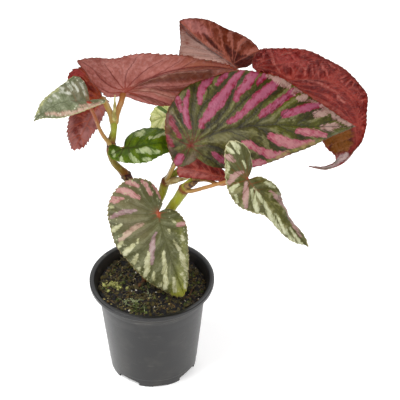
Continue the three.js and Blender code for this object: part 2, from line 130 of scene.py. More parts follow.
class Net:
    """A node tree that is written as Python expressions."""

    CLOUD_ROUGHNESS = 0.55

    def __init__(self, tree: bpy.types.NodeTree) -> None:
        """Starts from an empty tree."""
        self.tree = tree
        tree.nodes.clear()

    def node(self, kind: str, settings: dict | None = None, inputs: dict | None = None) -> bpy.types.Node:
        """Adds one node.

        Args:
            kind: The node's type.
            settings: Properties that are set first.
            inputs: Socket name or number to a value, or to the Val or socket that feeds it.

        Returns:
            The node.
        """
        made = self.tree.nodes.new(kind)
        for key, value in (settings or {}).items():
            setattr(made, key, value)
        for key, value in (inputs or {}).items():
            if isinstance(value, Val):
                value = value.socket
            if isinstance(value, bpy.types.NodeSocket):
                self.tree.links.new(value, made.inputs[key])
            else:
                made.inputs[key].default_value = value
        return made

    def math(self, operation: str, first: "Val | float", second: "Val | float") -> Val:
        """Adds a Math node and returns its result."""
        node = self.node("ShaderNodeMath", {"operation": operation}, {0: first, 1: second})
        return Val(self, node.outputs[0])

    def mix(self, share: "Val | float", low: "Val | Colour", high: "Val | Colour") -> Val:
        """Mixes two colours.

        Args:
            share: 0 gives the low colour and 1 the high one.
            low: First colour.
            high: Second colour.

        Returns:
            The mixed colour.
        """
        node = self.node("ShaderNodeMix", {"data_type": "RGBA"}, {0: share, 6: low, 7: high})
        return Val(self, node.outputs[2])

    def place(self, stretch: Point | None = None) -> Val:
        """Gives the object's own coordinates.

        Args:
            stretch: Scale along each axis, if any.

        Returns:
            The coordinates.
        """
        coords = self.node("ShaderNodeTexCoord").outputs["Object"]
        if not stretch:
            return Val(self, coords)
        node = self.node("ShaderNodeMapping", None, {"Vector": coords, "Scale": stretch})
        return Val(self, node.outputs[0])

    def noise(self, place: Val, size: float, detail: float = 3.0) -> Val:
        """Gives a cloudy value from 0 to 1.

        Args:
            place: Where the noise is read.
            size: Rough size of its patches in millimetres.
            detail: How many finer layers it has.

        Returns:
            The value.
        """
        inputs = {"Vector": place, "Scale": 1 / (size * MM), "Detail": detail}
        inputs["Roughness"] = self.CLOUD_ROUGHNESS
        return Val(self, self.node("ShaderNodeTexNoise", None, inputs).outputs[0])

    def cells(self, place: Val, size: float, feature: str = "F1") -> Val:
        """Gives a cell pattern.

        Args:
            place: Where the pattern is read.
            size: Rough width of a cell in millimetres.
            feature: F1 for the distance to a cell's middle, DISTANCE_TO_EDGE for that to its edge.

        Returns:
            The distance, as a share of a cell.
        """
        inputs = {"Vector": place, "Scale": 1 / (size * MM)}
        node = self.node("ShaderNodeTexVoronoi", {"feature": feature}, inputs)
        return Val(self, node.outputs["Distance"])

    def attribute(self, name: str) -> Val:
        """Reads a number that the mesh carries at each point."""
        return Val(self, self.node("ShaderNodeAttribute", {"attribute_name": name}).outputs["Fac"])

    def bump(self, height: Val, depth: float, strength: float = 1.0) -> Val:
        """Turns a height of 0 to 1 into a bumped normal of that depth in millimetres."""
        inputs = {"Height": height, "Distance": depth * MM, "Strength": strength}
        return Val(self, self.node("ShaderNodeBump", None, inputs).outputs[0])

    def surface(self, **inputs: "Val | Colour | float") -> None:
        """Ends the tree in a Principled shader; an underscore in an input's name stands for a space."""
        named = {key.replace("_", " "): value for key, value in inputs.items()}
        shader = self.node("ShaderNodeBsdfPrincipled", None, named)
        self.node("ShaderNodeOutputMaterial", None, {"Surface": shader.outputs[0]})


def new_net(name: str) -> tuple[Material, Net]:
    """Makes a material.

    Args:
        name: Its name.

    Returns:
        The material, and the net that its nodes are written in.
    """
    made = bpy.data.materials.new(name)
    made.use_nodes = True
    return made, Net(made.node_tree)


# ---------------------------------------------------------------- geometry


def lengths(ways: Array) -> Array:
    """Gives the length of each row."""
    return np.linalg.norm(ways, axis=1)


def run_along(points: Array) -> Array:
    """Gives how far along a chain of points each one is."""
    return np.concatenate([[0], np.cumsum(lengths(np.diff(points, axis=0)))])


def bell(gone: Array, width: float | Array) -> Array:
    """Falls from 1 at no distance to nothing a few widths away."""
    return np.exp(-((gone / width) ** 2))


def centripetal(points: Array, at: Array) -> Array:
    """Reads a centripetal spline through points, the one that the model's own curves follow.

    Args:
        points: The points that it passes through.
        at: Where it is read, as fractional point numbers.

    Returns:
        One point for each value of at.
    """
    points = np.asarray(points, float)
    last = len(points) - 1
    at = np.clip(np.atleast_1d(np.asarray(at, float)), 0, last)
    first = np.minimum(at.astype(int), last - 1)
    part = (at - first)[:, None]
    longer = np.vstack([2 * points[0] - points[1], points, 2 * points[-1] - points[-2]])
    before, here, after, beyond = (longer[first + k] for k in range(4))
    pairs = ((before, here), (here, after), (after, beyond))
    gaps = [np.sqrt(lengths(b - a))[:, None] for a, b in pairs]
    middle = np.where(gaps[1] < SAME_SPOT, 1, gaps[1])
    head, tail = (np.where(gap < SAME_SPOT, middle, gap) for gap in (gaps[0], gaps[2]))
    start = ((here - before) / head - (after - before) / (head + middle) + (after - here) / middle) * middle
    end = ((after - here) / middle - (beyond - here) / (middle + tail) + (beyond - after) / tail) * middle
    square = -3 * here + 3 * after - 2 * start - end
    return here + start * part + square * part**2 + (2 * here - 2 * after + start + end) * part**3


def even_positions(points: Array, shares: Array) -> Array:
    """Finds the places that lie at given shares of a spline's length.

    Args:
        points: The points that it passes through.
        shares: The shares, from 0 to 1.

    Returns:
        One fractional point number for each share.
    """
    at = np.linspace(0, len(points) - 1, LENGTH_STEPS)
    run = run_along(centripetal(points, at))
    return np.interp(np.asarray(shares) * run[-1], run, at)


def wobble(points: Array, size: float, seed: int) -> Array:
    """Gives a smooth value from about -1 to 1 that wanders over space.

    Args:
        points: Places in millimetres.
        size: Rough distance from a high to the next.
        seed: Picks one of many such patterns.

    Returns:
        One value for each point.
    """
    dice = np.random.default_rng(seed)
    total = np.zeros(len(points))
    for _ in range(WAVES):
        way = dice.normal(size=3)
        way *= math.tau / size * dice.uniform(0.6, 1.5) / np.linalg.norm(way)
        total += np.sin(points @ way + dice.uniform(0, 6.28))
    return total / WAVE_SUM


def eased(values: Array, low: float, high: float) -> Array:
    """Rises smoothly from 0 at low to 1 at high."""
    part = np.clip((values - low) / (high - low), 0, 1)
    return part * part * (3 - 2 * part)


def blurred(values: Array, faces: Faces, rounds: int) -> Array:
    """Evens out values over a mesh, each point with its neighbours.

    Args:
        values: One value for each point.
        faces: Faces of the mesh.
        rounds: How often it is done.

    Returns:
        The evened values.
    """
    ends = np.array([(face[k - 1], face[k]) for face in faces for k in range(len(face))])
    ends = np.vstack([ends, ends[:, ::-1]])
    count = np.bincount(ends[:, 0], minlength=len(values))
    for _ in range(rounds):
        near = np.bincount(ends[:, 0], weights=values[ends[:, 1]], minlength=len(values)) / count
        values = (values + near) / 2
    return values


def normals_of(points: Array, faces: Faces) -> Array:
    """Finds the way that a mesh faces.

    Args:
        points: Points of the mesh.
        faces: Faces of the mesh.

    Returns:
        The mean direction of the faces round each point.
    """
    total = np.zeros_like(points)
    corners = np.array([(face[0], face[1], face[2], face[-1]) for face in faces])
    across = points[corners[:, 2]] - points[corners[:, 0]]
    other = points[corners[:, 3]] - points[corners[:, 1]]
    flat = np.array([len(face) == 3 for face in faces])
    other[flat] = (points[corners[:, 2]] - points[corners[:, 1]])[flat]
    way = np.cross(across, other)
    for corner in range(4):
        np.add.at(total, corners[:, corner], way)
    return total / np.maximum(lengths(total), NEVER_ZERO)[:, None]


def grid_faces(rows: int, columns: int) -> Array:
    """Gives the four corner numbers of each face of a grid of points."""
    first = (np.arange(rows - 1)[:, None] * columns + np.arange(columns - 1)).ravel()
    return np.stack([first, first + columns, first + columns + 1, first + 1], 1)


def ring_of(radius: float, height: float, sides: int) -> Array:
    """Gives the points of a level ring round the upright axis."""
    turn = np.arange(sides) * math.tau / sides
    return np.stack([radius * np.cos(turn), radius * np.sin(turn), np.full(sides, height)], 1)


def tube_faces(rings: int, sides: int) -> Faces:
    """Joins rings of points into a tube, closed by one more point at each end.

    Args:
        rings: How many rings there are.
        sides: Points in a ring.

    Returns:
        The faces; the last two points are the middles of the first and last rings.
    """
    faces = []
    last = (rings - 1) * sides
    for side in range(sides):
        after = (side + 1) % sides
        for low in range(0, last, sides):
            high = low + sides
            faces.append((low + side, low + after, high + after, high + side))
        faces.append((rings * sides, after, side))
        faces.append((rings * sides + 1, last + side, last + after))
    return faces


def mesh_of(name: str, points: Array, faces: Faces) -> Mesh:
    """Makes a mesh.

    Args:
        name: Its name.
        points: Its points in millimetres.
        faces: Its faces.

    Returns:
        The mesh, in metres.
    """
    mesh = bpy.data.meshes.new(name)
    mesh.from_pydata((np.asarray(points) * MM).tolist(), [], faces)
    return mesh


def carry(mesh: Mesh, numbers: dict[str, Array]) -> None:
    """Writes values for each of a mesh's points into it.

    Args:
        mesh: The mesh.
        numbers: Name of an attribute to its values.
    """
    for key, values in numbers.items():
        data = mesh.attributes.new(key, "FLOAT", "POINT").data
        data.foreach_set("value", np.asarray(values, np.float32))


def put(name: str, data: bpy.types.ID) -> Object:
    """Puts a mesh, lamp or camera in the scene.

    Args:
        name: The object's name.
        data: The mesh, lamp or camera.

    Returns:
        The object.
    """
    made = bpy.data.objects.new(name, data)
    bpy.context.scene.collection.objects.link(made)
    return made


def plain(thing: Object) -> Mesh:
    """Applies an object's modifiers.

    Args:
        thing: The object.

    Returns:
        A plain mesh of it.
    """
    depsgraph = bpy.context.evaluated_depsgraph_get()
    depsgraph.update()
    return bpy.data.meshes.new_from_object(thing.evaluated_get(depsgraph), depsgraph=depsgraph)


def add_piece(
    name: str,
    points: Array,
    faces: Faces,
    finishes: list[Material],
    stands_for: tuple[str, ...] = (),
    numbers: dict[str, Array] | None = None,
    face_finish: Array | None = None,
    crease: float = 50.0,
) -> Object:
    """Makes a piece of the plant and has it ride on its body.

    Args:
        name: The piece's name.
        points: Corner points in millimetres.
        faces: Corner numbers of each face.
        finishes: Materials of the piece.
        stands_for: CAD nodes that it replaces.
        numbers: Values that the mesh carries at each point.
        face_finish: Which material each face has.
        crease: Angle in degrees above which an edge is sharp.

    Returns:
        The piece.
    """
    mesh = mesh_of(name, points, faces)
    carry(mesh, numbers or {})
    for finish in finishes:
        mesh.materials.append(finish)
    if face_finish is not None:
        mesh.polygons.foreach_set("material_index", np.asarray(face_finish, np.int32))
    return settle(mesh, name, stands_for, crease)


def settle(
    mesh: Mesh, name: str, stands_for: tuple[str, ...] = (), crease: float = 50.0
) -> Object:
    """Args:
        mesh: The mesh, in metres.
        name: The piece's name.
        stands_for: CAD nodes that it replaces.
        crease: Angle in degrees above which an edge is sharp.

    Returns:
        The piece.
    """
    mesh.update()
    mesh.polygons.foreach_set("use_smooth", np.ones(len(mesh.polygons), bool))
    mesh.set_sharp_from_angle(angle=math.radians(crease))
    made = put(name, mesh)
    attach(made, BODY)
    if stands_for:
        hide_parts(*stands_for)
    log.info("%s: %d faces", name, len(mesh.polygons))
    return made


# ---------------------------------------------------------------- viewpoint


@dataclass(frozen=True)
class Viewpoint:
    """Where the photograph was taken from, in millimetres, degrees and pixels."""

    target: Point = (46.2, 0.0, 198.0)
    distance: float = 1500.0
    pitch: float = 37.1
    focal_px: float = 1620.0
    sensor: float = 36.0

    def ways(self) -> tuple[Array, Array, Array]:
        """Works out how the camera is turned.

        Returns:
            The directions to the right, up and forwards.
        """
        turn = math.radians(self.pitch)
        ahead = np.array([0.0, math.cos(turn), -math.sin(turn)])
        return np.array([1.0, 0.0, 0.0]), np.array([0.0, math.sin(turn), math.cos(turn)]), ahead

    def eye(self) -> Array:
        """Gives the camera's place."""
        return np.array(self.target) - self.distance * self.ways()[2]

    def pixels(self, points: Array) -> Array:
        """Finds where points appear in the photograph.

        Args:
            points: The points.

        Returns:
            Pixels across and down, one pair for each point.
        """
        right, up, ahead = self.ways()
        ray = points - self.eye()
        across, rise = (self.focal_px * (ray @ way) / (ray @ ahead) for way in (right, up))
        return np.stack([PHOTO_SIDE / 2 + across, PHOTO_SIDE / 2 - rise], 1)

    def on_level(self, across: float, down: float, height: float) -> Array:
        """Finds the point at a given height that appears at a pixel.

        Args:
            across: Pixels from the left.
            down: Pixels from the top.
            height: Height of the point.

        Returns:
            The point.
        """
        right, up, ahead = self.ways()
        middle = PHOTO_SIDE / 2
        ray = ahead + right * (across - middle) / self.focal_px + up * (middle - down) / self.focal_px
        return self.eye() + ray * (height - self.eye()[2]) / ray[2]

    def add_camera(self) -> None:
        """Adds the camera."""
        data = bpy.data.cameras.new("view")
        data.sensor_width = self.sensor
        data.lens = self.focal_px * self.sensor / PHOTO_SIDE
        camera = put("view", data)
        camera.location = self.eye() * MM
        camera.rotation_euler = (math.radians(90 - self.pitch), 0, 0)
        bpy.context.scene.camera = camera


VIEW = Viewpoint()


# ---------------------------------------------------------------- leaf finishes


DRIFT_SIZE = 26  # millimetres over which a blade's colour drifts
GRAIN_SIZE = 5  # its patches
FINE_SIZE = 1.3  # its finest mottling
STROKE_SIZE = 1.8  # width of the streaks that fan out from its veins
STROKE_STRETCH = 0.22  # their width as a share of their length
FLECK_SIZE = 3.4  # spacing of its pale flecks
FLECK_SPAN = (3.0, 20.0)  # how far in from the margin the flecks fade
MARK_MIDDLE = 0.77  # takes the mean off the noise that frays a mark


class Face(Enum):
    """The two faces of a blade."""

    UPPER = 0
    UNDER = 1


@dataclass(frozen=True)
class Marks:
    """Painted marks of one colour on a blade.

    A chain is a mark's course in the photograph: pixels across and down, and half its width.
    Soft is how wide its edge is and ragged how frayed, both in pixels. Between veins is half a
    streak's width as a share of the gap between veins, for marks that follow no chain.
    """

    name: str
    deep: Colour
    pale: Colour
    chains: tuple[Chain, ...] = ()
    soft: float = 0.6
    ragged: float = 6.0
    cover: float = 1.0
    between_veins: float = 0.0


@dataclass(frozen=True)
class Skin:
    """Finish of one face of a blade; a span is where a change of colour begins and ends."""

    base: Colour
    shade: Colour
    light: Colour
    vein: Colour
    vein_near: Colour
    rim: Colour
    far: Colour | None = None
    far_span: tuple[float, float] = (0.0, 80.0)
    vein_width: float = 0.8
    vein_cover: float = 0.8
    net_cover: float = 0.25
    net_size: float = 3.4
    rim_width: float = 1.0
    near_span: tuple[float, float] = (4.0, 24.0)
    # strength of the painted highlight on crests and the painted shade in hollows
    relief: float = 0.5
    roughness: float = 0.42
    gloss: float = 0.28
    depth: float = 0.35
    stroke: float = 0.35
    fleck: Colour | None = None
    marks: tuple[Marks, ...] = ()

    def material(self, name: str, face: Face) -> Material:
        """Builds the finish.

        Args:
            name: The material's name.
            face: Which face of the blade it is on.

        Returns:
            The material.
        """
        made, net = new_net(name)
        place = net.place()
        drift, grain = net.noise(place, DRIFT_SIZE, 3), net.noise(place, GRAIN_SIZE, 4)
        fine = net.noise(place, FINE_SIZE, 3)
        vein, rim, near = net.attribute("vein"), net.attribute("rim"), net.attribute("reach")
        swell = net.attribute("swell") if face is Face.UPPER else 1 - net.attribute("swell")
        axes = {0: net.attribute("run") * MM, 1: rim * (STROKE_STRETCH * MM)}
        fan = net.node("ShaderNodeCombineXYZ", None, axes)
        stroke = net.noise(Val(net, fan.outputs[0]), STROKE_SIZE, 3)
        colour = net.mix((drift * 0.6 + grain * 0.4).between(0.36, 0.62), self.shade, self.base)
        if self.far:
            far = (net.attribute("length") + (drift - 0.5) * 30).between(*self.far_span)
            colour = net.mix(far, colour, net.mix(drift.between(0.3, 0.7), self.far, self.shade))
        # painted highlight on the crests of the relief and painted shade in its hollows
        crown = (swell + (grain - 0.5) * 0.4).between(0.52, 0.88)
        colour = net.mix(crown * self.relief, colour, self.light)
        painted_hollow_shade = 1 - (swell + (grain - 0.5) * 0.3).between(0.1, 0.48)
        colour = net.mix(painted_hollow_shade * self.relief, colour, self.shade)
        colour = net.mix(stroke.between(0.5, 0.72) * self.stroke, colour, self.shade)
        colour = net.mix((1 - stroke).between(0.54, 0.74) * self.stroke, colour, self.light)
        threads = net.cells(place, self.net_size, "DISTANCE_TO_EDGE")
        thread = 1 - (threads + (fine - 0.5) * 0.05).between(0.02, 0.14)
        colour = net.mix(thread * self.net_cover, colour, self.vein)
        for marks in self.marks:
            inside = net.attribute(marks.name)
            field = inside + (grain * 0.5 + fine * 0.25 + stroke * 0.9 - MARK_MIDDLE) * marks.ragged
            # marks are also painted paler on crests of the relief, a painted highlight
            paleness = field * 0.05 + grain * 0.55 + stroke * 0.25 + swell * 0.12
            tint = net.mix(paleness.between(0.36, 0.68), marks.deep, marks.pale)
            colour = net.mix(field.between(-marks.soft, marks.soft) * marks.cover, colour, tint)
        if self.fleck:
            dots = 1 - (net.cells(place, FLECK_SIZE) + (fine - 0.5) * 0.3).between(0.16, 0.3)
            dots = dots * (1 - rim.between(*FLECK_SPAN)) * grain.between(0.4, 0.55)
            colour = net.mix(dots, colour, self.fleck)
        line = (1 - (vein + (fine - 0.5) * 0.5).between(-0.2, self.vein_width)) * self.vein_cover
        tone = net.mix(near.between(*self.near_span), self.vein_near, self.vein)
        colour = net.mix(line, colour, tone)
        edge = 1 - (rim + (grain - 0.5) * 1.4).between(0.1, self.rim_width)
        colour = net.mix(edge, colour, self.rim)
        height = threads.between(0.0, 0.4) * 0.6 + fine * 0.2 + stroke * 0.5
        net.surface(
            Base_Color=colour,
            Roughness=0.12 * fine + (self.roughness - 0.06) + 0.1 * thread,
            Normal=net.bump(height, self.depth),
            Specular_IOR_Level=self.gloss,
        )
        return made


# ---------------------------------------------------------------- leaves


SPREAD = 1.15  # rows of faces along the midrib for each step of the margin beside it
CROWD = 1.5  # power that draws those rows towards the stalk
LOBE_SPREAD = 1.1  # rows that fan out from the stalk for each step of their margin
FEWEST_ROWS = 10
FEWEST_COLUMNS = 12
OTHER_SIDE = 500  # where the run of the right margin starts, so that its ripples differ
VEIN_STEPS = 160  # places along a vein
PIXEL_STEPS = 24  # places at which a vein's course in the photograph is read
SHARE_STEPS = 90  # places along a vein that the script lays itself
MIDRIB, SIDE_VEIN, FORK = 1.1, 0.8, 0.45  # half widths at the foot, in millimetres
VEIN_END = 0.35  # a vein's width at its end, as a share of that at its foot
VEIN_GAP = 9  # rows nearer than this at the margin share a vein
VEIN_BEND = 0.7  # four times as far as a vein's middle bows back towards the stalk, in rows
FORK_AT = 0.5  # where on a vein its fork starts
FORK_TURN = 0.42  # how far a fork turns away, in rows
BLOCK = 1500  # points that are measured at a time
OUTSIDE = -20.0  # what a field of marks says far from them all
STREAK_STEPS = 26  # places along a streak
WHOLE_STREAKS = 0.6  # share of the streaks that aren't broken in two


@dataclass(frozen=True)
class Half:
    """One side of a blade: rows of (how far along the midrib the vein starts, u, v, lift)."""

    rows: Array
    midrib: Array

    @property
    def last_lobe(self) -> int:
        """Number of the last row that starts at the stalk."""
        return int(np.flatnonzero(self.rows[:, 0] == 0)[-1])

    def points(self, at: Array, share: Array) -> Array:
        """Reads the sheet in the blade's own axes.

        Args:
            at: Fractional row numbers.
            share: How far from the midrib, 0, to the margin, 1.

        Returns:
            One point for each pair.
        """
        along = np.interp(at, np.arange(len(self.rows)), self.rows[:, 0])
        start = centripetal(self.midrib, even_positions(self.midrib, along))
        end = centripetal(self.rows[:, 1:], at)
        reach = lengths(end - start)
        made = start + (end - start) * share[:, None]
        made[:, 2] += SWELL * reach * 4 * share * (1 - share)
        return made

    def margin_length(self) -> float:
        """Gives the length of the margin."""
        margin = centripetal(self.rows[:, 1:], np.linspace(0, len(self.rows) - 1, 120))
        return float(lengths(np.diff(margin, axis=0)).sum())


@dataclass(frozen=True)
class Sheet:
    """A blade's fine mid-surface with what is known at each of its points."""

    points: Array
    faces: Faces
    share: Array
    rim: Array
    run: Array
    outwards: Array


@dataclass(frozen=True)
class Leaf:
    """A leaf blade in its own axes, and how it is finished.

    Origin is where its stalk ends, and turn its heading, climb and roll in degrees. Left and right
    are the rows of its two halves without the tip. A vein is half its width at the foot and then its
    course in pixels of the photograph; a blade with no veins given lays its own.
    """

    STILL = (3, 14)  # millimetres from the stalk over which the relief sets in
    PILLOW = 5  # how far from a vein the blade has risen most of the way
    SMOOTHING = 24  # rounds of evening out that leave only the broad shape
    VALLEY = 0.3  # depth of the groove over a vein
    KEEL = 0.9  # how far a stout vein stands out below

    name: str
    origin: Point
    turn: Point
    midrib: tuple[Point, ...]
    left: tuple[Point, ...]
    right: tuple[Point, ...]
    upper: Skin
    under: Skin
    seed: int
    quilt: float = 0.7
    crinkle: float = 0.6
    ripple: float = 1.1
    tooth: float = 0.5
    tooth_pitch: float = 6.0
    veins: tuple[Vein, ...] = ()
    thickness: float = 0.6
    spacing: float = 1.25

    @property
    def foot(self) -> Array:
        """Where the stalk meets the blade."""
        return np.asarray(self.origin)

    def axes(self) -> Array:
        """Works out how the blade is turned.

        Returns:
            Rows that point towards the tip, to its left and out of the upper face.
        """
        heading, climb, roll = np.radians(self.turn)
        flat = math.cos(climb)
        along = np.array([flat * math.cos(heading), flat * math.sin(heading), math.sin(climb)])
        level = np.array([-math.sin(heading), math.cos(heading), 0.0])
        across = math.cos(roll) * level + math.sin(roll) * np.cross(along, level)
        return np.array([along, across, np.cross(along, across)])

    def placed(self, points: Array) -> Array:
        """Turns points from the blade's axes into the plant's."""
        return self.foot + points @ self.axes()

    def halves(self) -> tuple[Half, Half]:
        """Splits the blade along its midrib.

        Returns:
            The left and right sides.
        """
        midrib = np.array([(0, 0, 0), *self.midrib], float)
        tip = (1.0, *self.midrib[-1])
        return tuple(Half(np.array([*side, tip], float), midrib) for side in (self.left, self.right))

    def sheet(self) -> Sheet:
        """Lays the fine grid over both sides and joins it along the midrib.

        Returns:
            The sheet, in the plant's axes.
        """
        halves = self.halves()
        margins = [half.margin_length() for half in halves]
        lobes = [m * half.last_lobe / (len(half.rows) - 1) for m, half in zip(margins, halves)]
        rib_rows = int(max(m - lobe for m, lobe in zip(margins, lobes)) / self.spacing * SPREAD)
        rib = (np.arange(1, rib_rows + 1) / rib_rows) ** CROWD
        grids, shares, rims, runs, ways, quads = [], [], [], [], [], []
        offset = 0
        for half, length, left in zip(halves, lobes, (True, False)):
            lobe_rows = max(FEWEST_ROWS, int(length / self.spacing * LOBE_SPREAD))
            last = half.last_lobe
            on_rib = np.interp(rib, half.rows[last:, 0], np.arange(last, len(half.rows)))
            at = np.concatenate([np.linspace(0, last, lobe_rows + 1), on_rib])
            margin = centripetal(half.rows[:, 1:], at)
            start = half.points(at, np.zeros(len(at)))
            reach = lengths(margin - start)
            across = max(FEWEST_COLUMNS, int(reach.max() / self.spacing))
            share = np.linspace(0, 1, across + 1)
            rows, columns = len(at), across + 1
            grids.append(half.points(np.repeat(at, columns), np.tile(share, rows)))
            shares.append(np.tile(share, rows))
            rims.append(np.repeat(reach, columns) * (1 - np.tile(share, rows)))
            runs.append(np.repeat(run_along(margin) + (0 if left else OTHER_SIDE), columns))
            way = (margin - start) / np.maximum(reach, NEVER_ZERO)[:, None]
            ways.append(np.repeat(way, columns, axis=0))
            quad = offset + grid_faces(rows, columns)
            quads.append(quad if left else quad[:, [0, 3, 2, 1]])
            offset += rows * columns
        points = np.vstack(grids)
        _, kept, number = np.unique(np.round(points, 3), axis=0, return_index=True, return_inverse=True)
        number = number.ravel()
        faces = []
        for quad in number[np.vstack(quads)].tolist():
            ring = tuple(c for k, c in enumerate(quad) if c != quad[k - 1])
            if len(set(ring)) >= 3:
                faces.append(ring)
        share, rim, run = (np.concatenate(parts)[kept] for parts in (shares, rims, runs))
        outwards = np.vstack(ways)[kept] @ self.axes()
        return Sheet(self.placed(points[kept]), faces, share, rim, run, outwards)

    def vein_courses(self, sheet: Sheet) -> list[tuple[Array, float]]:
        """Gives each vein as a chain of places and its half width at the foot, thinning along it.

        Args:
            sheet: The blade's sheet.

        Returns:
            The veins, the midrib first.
        """
        halves = self.halves()
        rib = halves[0].midrib
        spine = centripetal(rib, even_positions(rib, np.linspace(0, 1, VEIN_STEPS)))
        courses = [(self.placed(spine), MIDRIB)]
        if self.veins:
            seen = VIEW.pixels(sheet.points)
            for width, *spots in self.veins:
                flat = np.array([(*spot, 0.0) for spot in spots])
                course = centripetal(flat, np.linspace(0, len(spots) - 1, PIXEL_STEPS))[:, :2]
                nearest = [int(((seen - spot) ** 2).sum(1).argmin()) for spot in course]
                at = np.linspace(0, PIXEL_STEPS - 1, VEIN_STEPS)
                courses.append((centripetal(sheet.points[nearest], at), width))
            return courses
        share = np.linspace(0, 1, SHARE_STEPS)
        for half in halves:
            previous = half.rows[0, 1:]
            for row in range(1, len(half.rows) - 1):
                if np.linalg.norm(half.rows[row, 1:] - previous) < VEIN_GAP:
                    continue
                previous = half.rows[row, 1:]
                bend = row - VEIN_BEND * share * (1 - share)
                courses.append((self.placed(half.points(np.clip(bend, 0, None), share)), SIDE_VEIN))
                fork = np.clip((share - FORK_AT) / (1 - FORK_AT), 0, 1)
                side = np.clip(bend - FORK_TURN * fork**1.1, 0, None)
                courses.append((self.placed(half.points(side, share)[share > FORK_AT]), FORK))
        return courses

    def vein_field(self, sheet: Sheet) -> tuple[Array, Array]:
        """Measures how each point lies to the veins.

        Args:
            sheet: The blade's sheet.

        Returns:
            How far each point is from the nearest vein, and how stout the vein is there.
        """
        spots, widths = [], []
        for course, width in self.vein_courses(sheet):
            spots.append(course)
            widths.append(width * np.linspace(1.0, VEIN_END, len(course)))
        spots, widths = np.vstack(spots), np.concatenate(widths)
        away, stout = np.empty(len(sheet.points)), np.empty(len(sheet.points))
        for first in range(0, len(sheet.points), BLOCK):
            block = slice(first, first + BLOCK)
            part = sheet.points[block]
            square = (part**2).sum(1)[:, None] + (spots**2).sum(1)[None] - 2 * part @ spots.T
            away[block] = np.sqrt(np.maximum(square.min(1), 0))
            stout[block] = widths[square.argmin(1)]
        return away, stout

    def mark_field(self, marks: Marks, sheet: Sheet) -> Array:
        """Measures how far inside a set of marks each point is, below 0 outside them.

        Args:
            marks: The marks.
            sheet: The blade's sheet.

        Returns:
            One value for each point, in pixels of the photograph or nearly millimetres.
        """
        if marks.between_veins:
            return self.self_made_streaks(marks.between_veins, sheet)
        seen = VIEW.pixels(sheet.points)
        best = np.full(len(seen), OUTSIDE)
        for chain in marks.chains:
            for start, end in zip(chain, chain[1:]):
                start, end = np.array(start, float), np.array(end, float)
                step = end[:2] - start[:2]
                part = np.clip(((seen - start[:2]) @ step) / (step @ step), 0, 1)
                gone = lengths(seen - start[:2] - part[:, None] * step)
                best = np.maximum(best, start[2] + (end[2] - start[2]) * part - gone)
        return best

    def self_made_streaks(self, width: float, sheet: Sheet) -> Array:
        """Lays streaks between the veins, where the photograph doesn't show this face.

        Args:
            width: Half a streak's width as a share of the gap between its veins.
            sheet: The blade's sheet.

        Returns:
            How far inside a streak each point is, in millimetres.
        """
        dice = np.random.default_rng(self.seed)
        best = np.full(len(sheet.points), OUTSIDE)
        for half in self.halves():
            for row in range(len(half.rows) - 2):
                gap = np.linalg.norm(half.rows[row + 1, 1:] - half.rows[row, 1:])
                whole = dice.uniform() < WHOLE_STREAKS
                for low, high in ((0.2, 0.97),) if whole else ((0.25, 0.55), (0.62, 0.97)):
                    low += dice.uniform(-0.06, 0.1)
                    share = np.linspace(low, high + dice.uniform(-0.12, 0.02), STREAK_STEPS)
                    between = row + dice.uniform(0.4, 0.6)
                    sway = 0.04 * np.sin(9 * share + dice.uniform(0, 6))
                    row_at = between - VEIN_BEND * share * (1 - share) + sway
                    spots = self.placed(half.points(np.clip(row_at, 0, None), np.clip(share, 0, 1)))
                    taper = 0.35 + 0.65 * np.sin(np.linspace(0.2, 2.9, STREAK_STEPS))
                    size = width * gap * share**0.7 * taper
                    gone = np.linalg.norm(sheet.points[:, None] - spots[None], axis=2)
                    best = np.maximum(best, (size[None] - gone).max(1))
        return best

    def folds(self, sheet: Sheet) -> Array:
        """Makes small puckers that run outwards between sharp creases.

        Args:
            sheet: The blade's sheet.

        Returns:
            Their height at each point, from about -1 to 1.
        """
        flat = np.column_stack([sheet.run, 0.5 * sheet.rim, np.zeros(len(sheet.run))])
        coarse = np.abs(wobble(flat, 15, self.seed)) ** 0.7
        fine = np.abs(wobble(flat, 7, self.seed + 7)) ** 0.7
        return coarse - 0.6 * fine + 0.25 * wobble(sheet.points, 5, self.seed + 9) - 0.2

    def build(self) -> Object:
        """Builds the blade with its veins, quilting, ripples and teeth.

        Returns:
            The piece.
        """
        sheet = self.sheet()
        away, stout = self.vein_field(sheet)
        reach = lengths(sheet.points - self.foot)
        free = eased(reach, *self.STILL)
        normal = normals_of(sheet.points, sheet.faces)
        crease = bell(away, 1.1 + stout)
        pillow = 1 - bell(away, self.PILLOW)
        lift = self.quilt * pillow * free * eased(sheet.rim, -2, 5)
        calm = 0.3 + 0.7 * eased(sheet.rim, 0, 9)
        lift += self.crinkle * free * pillow * calm * self.folds(sheet)
        # how proud each point stands over its surroundings, which the finish paints as highlight on crests
        # and shade in hollows
        proud = lift - blurred(lift, sheet.faces, self.SMOOTHING)
        swell = np.clip(0.5 + 0.24 * proud / proud.std(), 0, 1)
        wave = np.sin(sheet.run / 17 + self.seed) + 0.6 * np.sin(sheet.run / 7.3 + 2 * self.seed)
        lift += self.ripple * wave * free * sheet.share**5
        tooth = (sheet.run / self.tooth_pitch + 0.2 * np.sin(sheet.run / 9)) % 1
        jut = self.tooth * (tooth**1.5 - 0.3) * eased(-sheet.rim, -3.0, 0)
        middle = sheet.points + normal * lift[:, None] + sheet.outwards * jut[:, None]
        top = middle - normal * (self.VALLEY * crease * free)[:, None]
        ridge = np.minimum(1.0, stout) * bell(away, 0.5 + stout) * free
        bottom = middle - normal * (self.thickness + self.KEEL * ridge)[:, None]
        faces, finish = self.closed(sheet.faces, len(middle))
        length = (sheet.points - self.foot) @ self.axes()[0]
        numbers = {"vein": away - stout * 0.5, "rim": sheet.rim, "length": length, "reach": reach}
        numbers.update({"swell": swell, "run": sheet.run})
        for marks in (*self.upper.marks, *self.under.marks):
            numbers[marks.name] = self.mark_field(marks, sheet)
        skins = zip((self.upper, self.under), Face)
